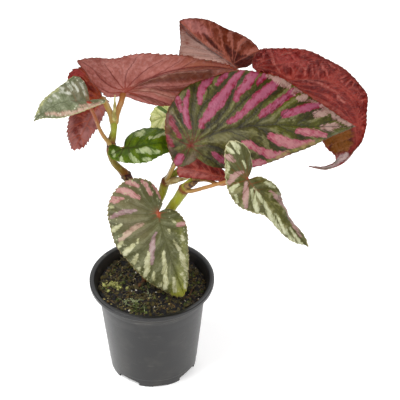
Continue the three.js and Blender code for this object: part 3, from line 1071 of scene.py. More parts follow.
        return add_piece(
            "leaf_" + self.name,
            np.vstack([top, bottom]),
            faces,
            [skin.material(f"{self.name}_{face.name.lower()}", face) for skin, face in skins],
            ("blade_" + self.name,),
            {key: np.tile(values, 2) for key, values in numbers.items()},
            finish,
            crease=65,
        )

    @staticmethod
    def closed(upper: Faces, count: int) -> tuple[Faces, Array]:
        """Doubles a sheet's faces and walls its open edges.

        Args:
            upper: Faces of the sheet.
            count: How many points one face of the blade has.

        Returns:
            All faces, and the number of each one's material.
        """
        under = [tuple(c + count for c in reversed(face)) for face in upper]
        edges = {(a, b) for face in upper for a, b in zip(face, (*face[1:], face[0]))}
        walls = sorted((b, a, a + count, b + count) for a, b in edges if (b, a) not in edges)
        kinds = (Face.UPPER.value, Face.UNDER.value, Face.UPPER.value)
        return upper + under + walls, np.repeat(kinds, (len(upper), len(under), len(walls)))


# ---------------------------------------------------------------- stems and stalks


@dataclass(frozen=True)
class Bark:
    """Finish of a stem or stalk whose colour changes with the value age that its mesh carries."""

    stops: tuple[tuple[float, Colour], ...]
    fleck: Colour
    roughness: float = 0.4

    def material(self, name: str) -> Material:
        """Builds the finish.

        Args:
            name: The material's name.

        Returns:
            The material.
        """
        made, net = new_net(name)
        place = net.place()
        long_grain = net.noise(net.place((1.0, 1.0, 0.16)), 1.6, 4)
        patch = net.noise(place, 9, 3)
        age = net.attribute("age") + (patch - 0.5) * 0.22 + (long_grain - 0.5) * 0.12
        colour: Val | Colour = self.stops[0][1]
        for (low, _), (high, tint) in zip(self.stops, self.stops[1:]):
            colour = net.mix(age.between(low, high), colour, tint)
        colour = net.mix(long_grain.between(0.5, 0.75) * 0.35, colour, self.fleck)
        pores = 1 - net.cells(net.place((1.0, 1.0, 0.45)), 3.2).between(0.1, 0.2)
        colour = net.mix(pores * 0.55, colour, self.fleck)
        rough = 0.2 * age.between(0.3, 1.0) + 0.15 * long_grain + (self.roughness - 0.08)
        bump = net.bump(long_grain + 0.5 * pores, 0.25)
        net.surface(Base_Color=colour, Roughness=rough, Normal=bump, Specular_IOR_Level=0.3)
        return made


RIDGES = 5  # lengthwise ridges round a stem or stalk


def sweep(
    course: Array, radius: Array, sides: int, flutes: float = 0.0, seed: int = 0
) -> tuple[Array, Faces]:
    """Sweeps a closed, slightly uneven round section along a course.

    Args:
        course: Centres of the rings.
        radius: Radius of each ring.
        sides: Points in a ring.
        flutes: Depth of its lengthwise ridges, as a share of the radius.
        seed: Picks the unevenness.

    Returns:
        Points and faces of a closed tube.
    """
    way = np.gradient(course, axis=0)
    way /= np.linalg.norm(way, axis=1)[:, None]
    side = np.array([0.0, 1.0, 0.0])
    rings = []
    turn = np.arange(sides) * math.tau / sides
    for ring, (centre, ahead, size) in enumerate(zip(course, way, radius)):
        side = side - ahead * (side @ ahead)
        side /= np.linalg.norm(side)
        other = np.cross(ahead, side)
        shape = size * (1 + flutes * np.cos(RIDGES * turn + ring * 0.02))
        rings.append(centre + np.outer(np.cos(turn) * shape, side) + np.outer(np.sin(turn) * shape, other))
    points = np.vstack([*rings, course[:1], course[-1:]])
    body = points[:-2]
    away = body - np.repeat(course, sides, axis=0)
    away = away / np.maximum(lengths(away), NEVER_ZERO)[:, None]
    uneven = 0.05 * wobble(body, 3.5, seed) + 0.09 * wobble(body, 11, seed + 1)
    points[:-2] += away * (uneven * np.repeat(np.minimum(radius / 2, 1.5), sides))[:, None]
    return points, tube_faces(len(course), sides)


@dataclass(frozen=True)
class Cane:
    """A main stem through stations of (x, y, z, radius, age).

    Nodes and scars sit at numbered stations; a scar also has the way that it faces.
    """

    RINGS = 220
    SIDES = 30

    name: str
    stations: tuple[Point, ...]
    nodes: tuple[int, ...]
    seed: int
    scars: tuple[tuple[int, Point], ...] = ()

    def build(self, bark: Bark) -> Object:
        """Builds the stem with rings and scars at its nodes.

        Args:
            bark: Its finish.

        Returns:
            The piece.
        """
        stations = np.array(self.stations)
        at = even_positions(stations[:, :3], np.linspace(0, 1, self.RINGS))
        course = centripetal(stations[:, :3], at)
        numbers = np.arange(len(stations))
        radius, age = (np.interp(at, numbers, stations[:, k]) for k in (3, 4))
        run = run_along(course)
        for _ in range(3):
            radius[1:-1] = np.convolve(radius, (0.25, 0.5, 0.25), "valid")
        for node in self.nodes:
            gone = run - np.interp(node, at, run)
            radius += 0.6 * bell(gone, 0.9) - 0.3 * bell(gone - 2.4, 0.8)
            age += 0.35 * bell(gone, 2.6)
        points, faces = sweep(course, radius, self.SIDES, 0.025, self.seed)
        ages = np.concatenate([np.repeat(age, self.SIDES), age[[0, -1]]])
        for station, way in self.scars:
            out = np.array(way) / np.linalg.norm(way)
            gone = lengths(points - stations[station, :3] - out * stations[station, 3])
            points = points + out * (0.5 * bell(gone, 2) + 0.3 * bell(gone - 2.2, 0.6))[:, None]
            ages += 0.5 * bell(gone - 2.2, 0.7) - 0.25 * bell(gone, 1.5)
        name, solid = "cane_" + self.name, "stem_" + self.name
        finish = [bark.material(solid + "_bark")]
        return add_piece(name, points, faces, finish, (solid,), {"age": ages})


@dataclass(frozen=True)
class Stalk:
    """A leaf stalk from its stem to the underside of its blade, through stations of (x, y, z)."""

    SIDES = 16
    STEP = 0.9  # millimetres from one ring to the next
    FEWEST_RINGS = 30
    HEAD = 7  # how near the blade the stalk is pressed down under it
    SUNK = 0.35  # how far below the blade's upper face its head stays

    leaf: Leaf
    stations: tuple[Point, ...]
    ages: tuple[float, float]
    foot_radius: float = 1.9
    head_radius: float = 1.4

    def build(self, bark: Bark) -> Object:
        """Builds the stalk, flared where it leaves the stem and where it meets the blade.

        Args:
            bark: Its finish.

        Returns:
            The piece.
        """
        stations = np.array(self.stations, float)
        length = lengths(np.diff(stations, axis=0)).sum()
        share = np.linspace(0, 1, max(self.FEWEST_RINGS, int(length / self.STEP)))
        course = centripetal(stations, even_positions(stations, share))
        radius = self.foot_radius + (self.head_radius - self.foot_radius) * share
        gone = share * length
        radius = radius + 1.0 * bell(gone, 6) + 0.5 * bell(length - gone, 3)
        points, faces = sweep(course, radius, self.SIDES, 0.04, self.leaf.seed)
        out = self.leaf.axes()[2]
        height = (points - self.leaf.foot) @ out
        close = lengths(points - self.leaf.foot) < self.HEAD
        sink = np.where(close, np.maximum(height + self.SUNK, 0), 0)
        points = points - sink[:, None] * out
        age = self.ages[0] + (self.ages[1] - self.ages[0]) * share
        ages = {"age": np.concatenate([np.repeat(age, self.SIDES), age[[0, -1]]])}
        name, solid = "stalk_" + self.leaf.name, "petiole_" + self.leaf.name
        return add_piece(name, points, faces, [bark.material(name + "_skin")], (solid,), ages)


@dataclass(frozen=True)
class Husk:
    """A dry papery sheath at a node, curled lengthwise, through stations of (x, y, z, half width)."""

    ROWS = 40
    COLUMNS = 17
    THICK = 0.3

    name: str
    stations: tuple[Point, ...]
    facing: Point
    seed: int
    dark: Colour = rgb(74, 47, 28)
    light: Colour = rgb(140, 98, 58)

    def material(self) -> Material:
        """Builds the papery brown finish.

        Returns:
            The material.
        """
        made, net = new_net("husk_" + self.name + "_paper")
        long_grain = net.noise(net.place((1.0, 1.0, 0.25)), 1.2, 4)
        patch = net.noise(net.place(), 4, 2)
        colour = net.mix(patch.between(0.35, 0.65), self.dark, self.light)
        colour = net.mix(long_grain.between(0.5, 0.7) * 0.5, colour, self.dark)
        net.surface(Base_Color=colour, Roughness=0.55 + 0.25 * long_grain, Normal=net.bump(long_grain, 0.3))
        return made

    def build(self) -> Object:
        """Builds the sheath as a thin closed shell.

        Returns:
            The piece.
        """
        stations = np.array(self.stations, float)
        at = np.linspace(0, len(stations) - 1, self.ROWS)
        course = centripetal(stations[:, :3], at)
        half = np.interp(at, np.arange(len(stations)), stations[:, 3])
        way = np.gradient(course, axis=0)
        way /= np.linalg.norm(way, axis=1)[:, None]
        back = np.asarray(self.facing, float)
        points = []
        for row in range(self.ROWS):
            out = back - way[row] * (back @ way[row])
            out /= np.linalg.norm(out)
            side = np.cross(way[row], out)
            curl = np.linspace(-1, 1, self.COLUMNS) * (1.9 + 0.5 * row / self.ROWS)
            arc = np.outer(np.sin(curl), side) + np.outer(np.cos(curl), out)
            points.append(course[row] + half[row] * arc)
        sheet = np.vstack(points)
        faces = [tuple(face) for face in grid_faces(self.ROWS, self.COLUMNS)[:, [0, 3, 2, 1]].tolist()]
        normal = normals_of(sheet, faces)
        sheet = sheet + normal * (0.25 * wobble(sheet, 5, self.seed))[:, None]
        both = np.vstack([sheet, sheet - normal * self.THICK])
        closed, _ = Leaf.closed(faces, len(sheet))
        name, solid = "husk_" + self.name, "sheath_" + self.name
        return add_piece(name, both, closed, [self.material()], (solid,))


# ---------------------------------------------------------------- pot


@dataclass(frozen=True)
class Plastic:
    """Black moulded plastic, scuffed and a little dusty, with painted shade on the flare under the lip."""

    body: Colour = rgb(42, 44, 45)
    # the flare's colour is a painted shade under the lip
    flare: Colour = rgb(33, 34, 34)
    scuff: Colour = rgb(92, 90, 86)
    dust: Colour = rgb(92, 82, 64)

    def material(self) -> Material:
        """Builds the finish.

        Returns:
            The material.
        """
        made, net = new_net("pot_plastic")
        place = net.place()
        cloud, grain, fine = net.noise(place, 22, 4), net.noise(place, 2.4, 4), net.noise(place, 0.5, 2)
        streak = net.noise(net.place((1.0, 1.0, 0.08)), 2.2, 3)
        flare = net.attribute("flare")
        # painted shade on the flare under the lip
        colour = net.mix(flare, self.body, self.flare)
        colour = net.mix(cloud.between(0.45, 0.75) * 0.25, colour, self.scuff)
        scratch = net.noise(net.place((0.1, 0.1, 1.0)), 2.0, 3).between(0.63, 0.69)
        colour = net.mix(scratch * cloud.between(0.44, 0.6) * (flare * 0.4 + 0.5), colour, self.scuff)
        nick = net.noise(net.place((0.7, 0.7, 1.0)), 1.8, 1).between(0.8, 0.84)
        colour = net.mix(nick * 0.7, colour, self.dust)
        dust = net.attribute("dust") * (grain * 0.7 + cloud * 0.5).between(0.45, 0.8)
        colour = net.mix(dust * 0.75, colour, self.dust)
        rough = 0.22 + 0.16 * cloud + 0.1 * grain + 0.25 * dust + 0.15 * flare
        bump = net.bump(fine * 0.5 + streak * 0.5, 0.06)
        net.surface(Base_Color=colour, Roughness=rough, Normal=bump, Specular_IOR_Level=0.5)
        return made


@dataclass(frozen=True)
class Pot:
    """A round tapered nursery pot with a flared lip, drain holes and notches, in millimetres."""

    ARCH_STEPS = 9
    INWARDS, OUTWARDS = 4.5, 7.5  # how far a drain's cutter reaches from the foot's edge

    rim_radius: float = 60.0
    height: float = 105.0
    base_radius: float = 42.0
    neck_radius: float = 51.2
    neck_height: float = 88.0
    lip_width: float = 4.4
    wall: float = 1.5
    floor: float = 1.8
    sides: int = 144
    drain_width: float = 24.0
    drain_height: float = 6.0
    notch_width: float = 14.0
    notch_height: float = 1.5
    first_drain: float = -35.0
    drains: int = 4

    def profile(self) -> list[Point]:
        """Draws the wall's outline.

        Returns:
            Corners as (radius, height, fillet radius), from the axis under the pot to the floor in it.
        """
        lip = self.rim_radius - self.lip_width
        base, neck, top, rim = self.base_radius, self.neck_radius, self.height, self.rim_radius
        slope = (neck - base) / (self.neck_height - 1)
        foot = [(0, 0.0, 0), (base - 3.4, 0.0, 0.3), (base, 0.0, 1.2)]
        step = [(base + slope * 8.5, 9.0, 0.2), (base + slope * 9 + 0.25, 9.6, 0.2)]
        flare = [
            (neck - 1.1, self.neck_height - 10.0, 6.0),
            (neck + 0.3, self.neck_height, 6.0),
            (neck + 2.4, self.neck_height + 7, 6.0),
        ]
        bead = [(rim - 2.2, top - 5.4, 1.6), (rim - 0.1, top - 4.2, 1.0), (rim, top, 1.7)]
        mouth = [(rim - 2.4, top - 0.1, 0.4), (lip, top - 0.5, 1.4), (lip - 1.6, top - 4, 1.5)]
        inner = [(neck + 0.9, top - 10, 1.5), (neck - self.wall, self.neck_height, 2.0)]
        bottom = [(base - self.wall, self.floor, 1.0), (0, self.floor, 0)]
        return foot + step + flare + bead + mouth + inner + bottom

    @staticmethod
    def rounded(profile: list[Point], steps: int = 6) -> Array:
        """Rounds the corners of an outline.

        Args:
            profile: Corners as (radius, height, fillet radius).
            steps: Points in each fillet.

        Returns:
            The rounded outline.
        """
        made = [np.array(profile[0][:2], float)]
        for before, here, after in zip(profile, profile[1:], profile[2:]):
            corner = np.array(here[:2], float)
            ways = [np.array(other[:2], float) - corner for other in (before, after)]
            sizes = [np.linalg.norm(way) for way in ways]
            opening = math.acos(np.clip((ways[0] / sizes[0]) @ (ways[1] / sizes[1]), -1, 1))
            cut = min(here[2] / max(math.tan(opening / 2), 1e-3), 0.45 * min(sizes)) if here[2] else 0.0
            if cut < 1e-3 or opening > 3.12:
                made.append(corner)
                continue
            start, end = (corner + way / size * cut for way, size in zip(ways, sizes))
            for part in np.linspace(0, 1, steps):
                made.append((1 - part) ** 2 * start + 2 * part * (1 - part) * corner + part**2 * end)
        made.append(np.array(profile[-1][:2], float))
        return np.array(made)

    def cutter(self, width: float, height: float, angle: float) -> Object:
        """Makes the arched wedge that cuts a drain hole.

        Args:
            width: Width of the hole.
            height: Height of the hole.
            angle: Where it is, in degrees from the front towards the right.

        Returns:
            The wedge.
        """
        half = width / 2
        shoulder, crown = height * 0.55, height * 0.45
        arch = [(-half, -1.0), (half, -1.0)]
        for part in np.linspace(0, 1, self.ARCH_STEPS):
            turn = part * math.pi
            arch.append((half * math.cos(turn), shoulder + crown * math.sin(turn)))
        turn = math.radians(angle)
        out = np.array([math.sin(turn), -math.cos(turn), 0])
        side = np.array([math.cos(turn), math.sin(turn), 0])
        points = []
        for reach in (self.base_radius - self.INWARDS, self.base_radius + self.OUTWARDS):
            points += [out * reach + side * a + np.array([0, 0, z]) for a, z in arch]
        count = len(arch)
        faces = [(k, (k + 1) % count, (k + 1) % count + count, k + count) for k in range(count)]
        faces += [tuple(reversed(range(count))), tuple(range(count, 2 * count))]
        return put("cutter", mesh_of("cutter", points, faces))

    def build(self, plastic: Plastic) -> Object:
        """Turns the wall, cuts its drain holes and finishes it.

        Args:
            plastic: Its finish.

        Returns:
            The piece.
        """
        outline = self.rounded(self.profile())
        rings = [ring_of(radius, height, self.sides) for radius, height in outline[1:-1]]
        points = np.vstack([*rings, [[0, 0, outline[0, 1]], [0, 0, outline[-1, 1]]]])
        turned = put("pot_turned", mesh_of("pot_turned", points, tube_faces(len(rings), self.sides)))
        cutters = []
        step = 360 / self.drains
        for number in range(self.drains):
            angle = self.first_drain + step * number
            cutters.append(self.cutter(self.drain_width, self.drain_height, angle))
            cutters.append(self.cutter(self.notch_width, self.notch_height, angle + step / 2))
        for cutter in cutters:
            cut = turned.modifiers.new("drain", "BOOLEAN")
            cut.operation = "DIFFERENCE"
            cut.solver = "EXACT"
            cut.object = cutter
        shell = plain(turned)
        for helper in (turned, *cutters):
            bpy.data.objects.remove(helper)
        height = np.array([v.co.z for v in shell.vertices]) / MM
        outer = np.array([math.hypot(v.co.x, v.co.y) for v in shell.vertices]) / MM
        neck = self.neck_height
        low = 0.25 * (1 - eased(height, 1, 16))
        inside = 0.35 * eased(height, neck, neck + 10) * (outer < self.rim_radius - self.lip_width - 0.3)
        # where the flare under the lip takes its painted shade
        flare = eased(height, neck - 6, neck + 4) * (outer < self.rim_radius - 1.2)
        carry(shell, {"dust": np.maximum(low, inside), "flare": flare})
        shell.materials.clear()
        shell.materials.append(plastic.material())
        return settle(shell, "pot_shell", ("pot",), crease=32)


# ---------------------------------------------------------------- soil


@dataclass(frozen=True)
class Grit:
    """A mottled finish for soil and what lies on it."""

    name: str
    dark: Colour
    light: Colour
    patch: float = 2.5
    roughness: float = 0.85

    def material(self) -> Material:
        """Builds the finish.

        Returns:
            The material.
        """
        made, net = new_net(self.name)
        place = net.place()
        patch, fine = net.noise(place, self.patch, 4), net.noise(place, 0.6, 3)
        colour = net.mix((patch * 0.6 + fine * 0.4).between(0.38, 0.62), self.dark, self.light)
        rough = self.roughness + 0.1 * (fine - 0.5)
        net.surface(Base_Color=colour, Roughness=rough, Normal=net.bump(fine, 0.4))
        return made


class Strewer:
    """Strews copies of a small shape over a surface with geometry nodes."""

    INPUTS = (
        ("Surface", "NodeSocketGeometry"),
        ("Shape", "NodeSocketObject"),
        ("Finish", "NodeSocketMaterial"),
        ("Per Square Metre", "NodeSocketFloat"),
        ("Region", "NodeSocketString"),
        ("Smallest", "NodeSocketVector"),
        ("Largest", "NodeSocketVector"),
        ("Tilt", "NodeSocketFloat"),
        ("Seed", "NodeSocketInt"),
    )

    def __init__(self) -> None:
        """Builds the tree."""
        self.tree = bpy.data.node_groups.new("strew", "GeometryNodeTree")
        for name, kind in self.INPUTS:
            self.tree.interface.new_socket(name=name, in_out="INPUT", socket_type=kind)
        self.tree.interface.new_socket(name="Strewn", in_out="OUTPUT", socket_type="NodeSocketGeometry")
        net = Net(self.tree)
        given = net.node("NodeGroupInput").outputs
        named = {"Name": given["Region"]}
        region = net.node("GeometryNodeInputNamedAttribute", {"data_type": "FLOAT"}, named)
        dense = net.math("MULTIPLY", Val(net, region.outputs[0]), Val(net, given["Per Square Metre"]))
        spread = {"Mesh": given["Surface"], "Density": dense, "Seed": given["Seed"]}
        spots = net.node("GeometryNodeDistributePointsOnFaces", {"distribute_method": "RANDOM"}, spread)
        down = net.math("MULTIPLY", Val(net, given["Tilt"]), -1.0)
        lean = net.node("ShaderNodeCombineXYZ", None, {0: given["Tilt"], 1: given["Tilt"], 2: math.tau})
        back = net.node("ShaderNodeCombineXYZ", None, {0: down, 1: down, 2: 0.0})
        kind = {"data_type": "FLOAT_VECTOR"}
        turns = {0: back.outputs[0], 1: lean.outputs[0], 8: given["Seed"]}
        turned = net.node("FunctionNodeRandomValue", kind, turns)
        spin = net.node("FunctionNodeEulerToRotation", None, {0: turned.outputs[0]})
        turns = {0: spots.outputs["Rotation"], 1: spin.outputs[0]}
        facing = net.node("FunctionNodeRotateRotation", {"rotation_space": "LOCAL"}, turns)
        sizes = {0: given["Smallest"], 1: given["Largest"], 8: given["Seed"]}
        size = net.node("FunctionNodeRandomValue", kind, sizes)
        shape = net.node("GeometryNodeObjectInfo", None, {"Object": given["Shape"]})
        placing = {"Points": spots.outputs["Points"], "Instance": shape.outputs["Geometry"]}
        placing.update({"Rotation": facing.outputs[0], "Scale": size.outputs[0]})
        copies = net.node("GeometryNodeInstanceOnPoints", None, placing)
        real = net.node("GeometryNodeRealizeInstances", None, {"Geometry": copies.outputs[0]})
        finish = {"Geometry": real.outputs[0], "Material": given["Finish"]}
        dressed = net.node("GeometryNodeSetMaterial", None, finish)
        net.node("NodeGroupOutput", None, {0: dressed.outputs[0]})

    def strew(
        self,
        name: str,
        surface: Mesh,
        shape: Mesh,
        finish: Material,
        **inputs: "float | int | str | Point",
    ) -> Object:
        """Strews one kind of thing and keeps the result as a plain piece.

        Args:
            name: The piece's name.
            surface: What it is strewn on.
            shape: The shape that is copied.
            finish: Its material.
            inputs: The tree's other inputs, with an underscore for a space.

        Returns:
            The piece.
        """
        ground, sample = put(name + "_bed", surface), put(name + "_shape", shape)
        modifier = ground.modifiers.new("strew", "NODES")
        modifier.node_group = self.tree
        named = {key.replace("_", " "): value for key, value in inputs.items()}
        named.update({"Shape": sample, "Finish": finish})
        for item in self.tree.interface.items_tree:
            if item.in_out == "INPUT" and item.name in named:
                modifier[item.identifier] = named[item.name]
        mesh = plain(ground)
        for helper in (ground, sample):
            bpy.data.objects.remove(helper)
        mesh.name = name
        return settle(mesh, name, crease=40)


@dataclass(frozen=True)
class Litter:
    """One kind of small thing on the soil: its shape, how densely it lies, and its sizes in millimetres."""

    name: str
    shape: Mesh
    grit: Grit
    dense: float
    sizes: tuple[float, float]
    flat: float
    tilt: float
    long: float = 1.0
    region: str = "everywhere"

    def strew(self, strewer: Strewer, bed: Mesh, seed: int) -> Object:
        """Strews it on the soil.

        Args:
            strewer: What strews it.
            bed: The top of the soil.
            seed: Picks where it lies.

        Returns:
            The piece.
        """
        small, large = ((size * self.long, size, size * self.flat) for size in self.sizes)
        return strewer.strew(
            self.name,
            bed,
            self.shape,
            self.grit.material(),
            Per_Square_Metre=float(self.dense),
            Region=self.region,
            Smallest=small,
            Largest=large,
            Tilt=self.tilt,
            Seed=seed,
        )


@dataclass(frozen=True)
class Soil:
    """The potting soil and what lies on it, in millimetres.

    A spot is a pixel of the photograph and a radius. A stick is a course of pixels, each with its
    height above the soil, and a half thickness.
    """

    RINGS = 44
    SIDES = 120
    ANY_WAY = 3.1  # a tilt, in radians, that turns a crumb any way up
    STICK_RINGS = 24
    STICK_SIDES = 9

    top: float = 95.0
    foot: float = 2.1
    foot_radius: float = 39.5
    neck_height: float = 88.0
    neck_radius: float = 48.6
    edge_radius: float = 51.0
    moss_spots: Chain = ((105, 286, 3), (113, 286, 4.5), (119, 289, 2.4), (108, 292, 2), (128, 290, 1.8))
    sticks: tuple[tuple[Chain, float], ...] = (
        (((188, 297, 0.6), (191, 292, 1.6), (193, 287, 2.2)), 0.7),
        (((138, 287, 0.8), (143, 282, 1.6), (147, 277, 1.0)), 2.0),
    )
    strand_spots: Chain = ((127, 302, 5), (135, 305, 6), (143, 308, 4), (150, 296, 3), (119, 278, 4))
    seed: int = 5

    def height(self, flat: Array) -> Array:
        """Gives the height of the soil over points of its plan.

        Args:
            flat: Points as rows of (x, y, anything).

        Returns:
            One height for each point.
        """
        spots = np.column_stack([flat[:, 0], flat[:, 1], np.zeros(len(flat))])
        reach = np.hypot(flat[:, 0], flat[:, 1])
        lumps = 1.1 * wobble(spots, 22, self.seed) + 1.3 * wobble(spots, 9, self.seed + 1)
        lumps += 0.6 * wobble(spots, 4, self.seed + 2) + 0.3 * wobble(spots, 1.9, self.seed + 3)
        return self.top + 0.9 * (1 - (reach / 50) ** 2) + lumps - 0.5 * eased(reach, 46, 51)

    def region(self, flat: Array, spots: Chain) -> Array:
        """Marks the soil near some pixels of the photograph.

        Args:
            flat: Points of the soil's surface.
            spots: Pixels across and down, and a radius in millimetres.

        Returns:
            1 near a spot, falling to 0 away from it.
        """
        best = np.zeros(len(flat))
        for across, down, radius in spots:
            middle = VIEW.on_level(across, down, self.top)
            gone = np.hypot(flat[:, 0] - middle[0], flat[:, 1] - middle[1])
            best = np.maximum(best, 1 - eased(gone, radius * 0.4, radius))
        return best

    def surface(self) -> tuple[Array, Faces, int]:
        """Makes the soil's closed body with a fine top.

        Returns:
            Points, faces, and how many of the points are its top.
        """
        rings, sides = self.RINGS, self.SIDES
        spans = self.edge_radius * (np.arange(1, rings + 1) / rings) ** 0.85
        top = np.vstack([np.zeros((1, 3)), *(ring_of(span, 0.0, sides) for span in spans)])
        top[:, 2] = self.height(top)
        skirt = ((self.neck_radius, self.neck_height), (self.foot_radius, self.foot))
        lower = [ring_of(radius, height, sides) for radius, height in skirt]
        points = np.vstack([top, *lower, [[0, 0, self.foot]]])
        faces: Faces = [(0, 1 + k, 1 + (k + 1) % sides) for k in range(sides)]
        for ring in range(rings + 1):
            for k in range(sides):
                a, b = 1 + ring * sides + k, 1 + ring * sides + (k + 1) % sides
                faces.append((a, a + sides, b + sides, b))
        last = 1 + (rings + 1) * sides
        faces += [(len(points) - 1, last + (k + 1) % sides, last + k) for k in range(sides)]
        return points, faces, len(top)

    @staticmethod
    def lump(seed: int, detail: int, rough: float) -> Mesh:
        """Makes an irregular lump one millimetre in radius.

        Args:
            seed: Picks its shape.
            detail: How finely it is divided.
            rough: How uneven it is.

        Returns:
            The mesh.
        """
        made = bmesh.new()
        bmesh.ops.create_icosphere(made, subdivisions=detail, radius=1.0)
        spots = np.array([v.co for v in made.verts])
        uneven = 1 + rough * wobble(spots, 1.6, seed)
        for vertex, size in zip(made.verts, uneven):
            vertex.co *= size * MM
        mesh = bpy.data.meshes.new("lump")
        made.to_mesh(mesh)
        made.free()
        return mesh

    @staticmethod
    def sprig() -> Mesh:
        """Makes a sprig of moss from rings of small pointed leaves.

        Returns:
            The mesh.
        """
        points, faces = [], []
        blade = ((0, 1, 2, 3), (0, 4, 1), (1, 4, 2), (2, 4, 3), (3, 4, 0))
        width, middle, keel, tip = 0.28, 0.35, 0.12, 0.75
        layers, around = 3, 5
        for layer in range(layers):
            for k in range(around):
                turn = k * math.tau / around + layer * 0.6
                out = np.array([math.cos(turn), math.sin(turn), 0])
                side = np.array([-math.sin(turn), math.cos(turn), 0]) * width
                base = np.array([0, 0, 0.5 * layer])
                reach = 1.3 - 0.25 * layer
                half = base + out * reach * 0.5
                faces += [tuple(len(points) + c for c in reversed(face)) for face in blade]
                points += [base, half + side + [0, 0, middle], base + out * reach + [0, 0, tip]]
                points += [half - side + [0, 0, middle], half + [0, 0, keel]]
        return mesh_of("sprig", points, faces)

    @staticmethod
    def fibre() -> Mesh:
        """Makes a thin bent fibre ten millimetres long.

        Returns:
            The mesh.
        """
        at = np.linspace(-5, 5, 7)
        course = np.column_stack([at, 0.8 * np.sin(at / 2.2), 0.5 + 0.25 * np.cos(at / 1.7)])
        points, faces = sweep(course, 0.28 + 0.06 * np.cos(at), 5)
        return mesh_of("fibre", points, faces)

    def litter(self) -> tuple[Litter, ...]:
        """Lists what lies on the soil.

        Returns:
            One entry for each kind.
        """
        bark = Grit("bark", rgb(24, 16, 9), rgb(116, 92, 54), 6.0)
        fresh = Grit("fresh_moss", rgb(52, 64, 24), rgb(126, 136, 70), 8.0)
        crumb = Grit("crumb", rgb(7, 5, 3), rgb(54, 45, 24), 3.0)
        clod = Grit("clod", rgb(9, 7, 4), rgb(92, 82, 46), 3.0)
        chip = Grit("chip", rgb(120, 104, 58), rgb(210, 196, 134))
        grit = Grit("grit", rgb(190, 180, 160), rgb(240, 236, 226))
        moss = Grit("moss", rgb(140, 144, 66), rgb(226, 224, 150))
        strand = Grit("strand", rgb(92, 104, 62), rgb(176, 182, 140))
        fibre = Grit("fibre", rgb(50, 42, 20), rgb(160, 146, 96))
        sprig, thread = self.sprig(), self.fibre()
        return (
            Litter("soil_crumbs", self.lump(1, 1, 0.5), crumb, 160000, (0.5, 1.5), 0.6, self.ANY_WAY),
            Litter("soil_clods", self.lump(2, 2, 0.45), clod, 30000, (1.0, 3.4), 0.7, self.ANY_WAY),
            Litter("soil_bark", self.lump(6, 1, 0.4), bark, 30000, (0.5, 1.3), 0.5, 0.9, 3.4),
            Litter("soil_chips", self.lump(3, 1, 0.3), chip, 11000, (0.5, 1.2), 0.4, 0.8, 2.0),
            Litter("soil_grit", self.lump(4, 2, 0.2), grit, 3600, (0.6, 1.3), 0.8, self.ANY_WAY),
            Litter("soil_moss", sprig, moss, 800000, (1.3, 2.2), 1.0, 0.5, region="moss"),
            Litter("soil_green", sprig, fresh, 160000, (0.8, 1.7), 1.0, 0.5, region="tufts"),
            Litter("soil_strands", thread, strand, 220000, (0.7, 1.2), 0.8, 0.5, region="strands"),
            Litter("soil_fibre", thread, fibre, 34000, (0.5, 1.1), 0.7, 0.35),
        )

    def build(self) -> None:
        """Builds the soil's body, strews what lies on it and lays the sticks."""
        points, faces, top = self.surface()
        # dark soil, painted darker still as the shade in the gaps between crumbs
        earth_and_gap_shade = Grit("soil_earth", rgb(8, 6, 4), rgb(30, 24, 14), 3.0, 0.9)
        add_piece("soil_bed", points, faces, [earth_and_gap_shade.material()], ("soil",), crease=80)
        flat = points[:top]
        bed = mesh_of("bed", flat, [face for face in faces if max(face) < top])
        everywhere = np.hypot(flat[:, 0], flat[:, 1]) < self.edge_radius - 0.8
        tufts = everywhere * eased(wobble(flat, 13, self.seed + 4), 0.15, 0.9)
        moss, strands = self.region(flat, self.moss_spots), self.region(flat, self.strand_spots)
        carry(bed, {"moss": moss, "tufts": tufts, "strands": strands, "everywhere": everywhere})
        strewer = Strewer()
        for number, litter in enumerate(self.litter()):
            litter.strew(strewer, bed, self.seed + number)
        wood = Grit("soil_wood", rgb(62, 38, 26), rgb(118, 82, 52), 3.0).material()
        for number, (course, thick) in enumerate(self.sticks):
            spots = np.array([VIEW.on_level(across, down, self.top + up) for across, down, up in course])
            spots = centripetal(spots, np.linspace(0, len(spots) - 1, self.STICK_RINGS))
            taper = thick * (0.75 + 0.25 * np.sin(np.linspace(0.3, 2.6, self.STICK_RINGS)))
            points, faces = sweep(spots, taper, self.STICK_SIDES, 0.1, self.seed + number)
            add_piece(f"soil_stick_{number + 1}", points, faces, [wood])


# ---------------------------------------------------------------- colours of the leaves

PINK = (rgb(134, 44, 62), rgb(164, 92, 114))
ROSE = (rgb(160, 70, 90), rgb(188, 126, 130))
WINE = (rgb(104, 36, 40), rgb(142, 72, 82))
PALE = (rgb(146, 104, 98), rgb(188, 156, 146))
CREAM = (rgb(172, 174, 130), rgb(214, 214, 178))

STRIPED_UPPER = Skin(
    base=rgb(104, 112, 76),
    shade=rgb(72, 80, 52),
    light=rgb(134, 142, 108),
    vein=rgb(56, 54, 38),
    vein_near=rgb(128, 34, 30),
    rim=rgb(120, 66, 52),
)
RED_UNDER = Skin(
    base=rgb(174, 80, 68),
    shade=rgb(132, 50, 42),
    light=rgb(198, 116, 100),
    vein=rgb(188, 92, 84),
    vein_near=rgb(200, 104, 92),
    rim=rgb(150, 66, 56),
    vein_width=1.0,
    vein_cover=0.5,
    net_cover=0.2,
    roughness=0.46,
    gloss=0.12,
    depth=0.5,
)


def hidden_upper(pink: float = 1.0) -> Skin:
    """Gives the striped upper face of a leaf whose upper face the photograph hides.

    Args:
        pink: How pink its streaks are, from 0 to 1.

    Returns:
        The finish.
    """
    deep, pale = (tuple(a * pink + b * (1 - pink) for a, b in zip(*pair)) for pair in zip(PINK, PALE))
    return replace(STRIPED_UPPER, marks=(Marks("streaks", deep, pale, between_veins=0.3),))


# ---------------------------------------------------------------- studio


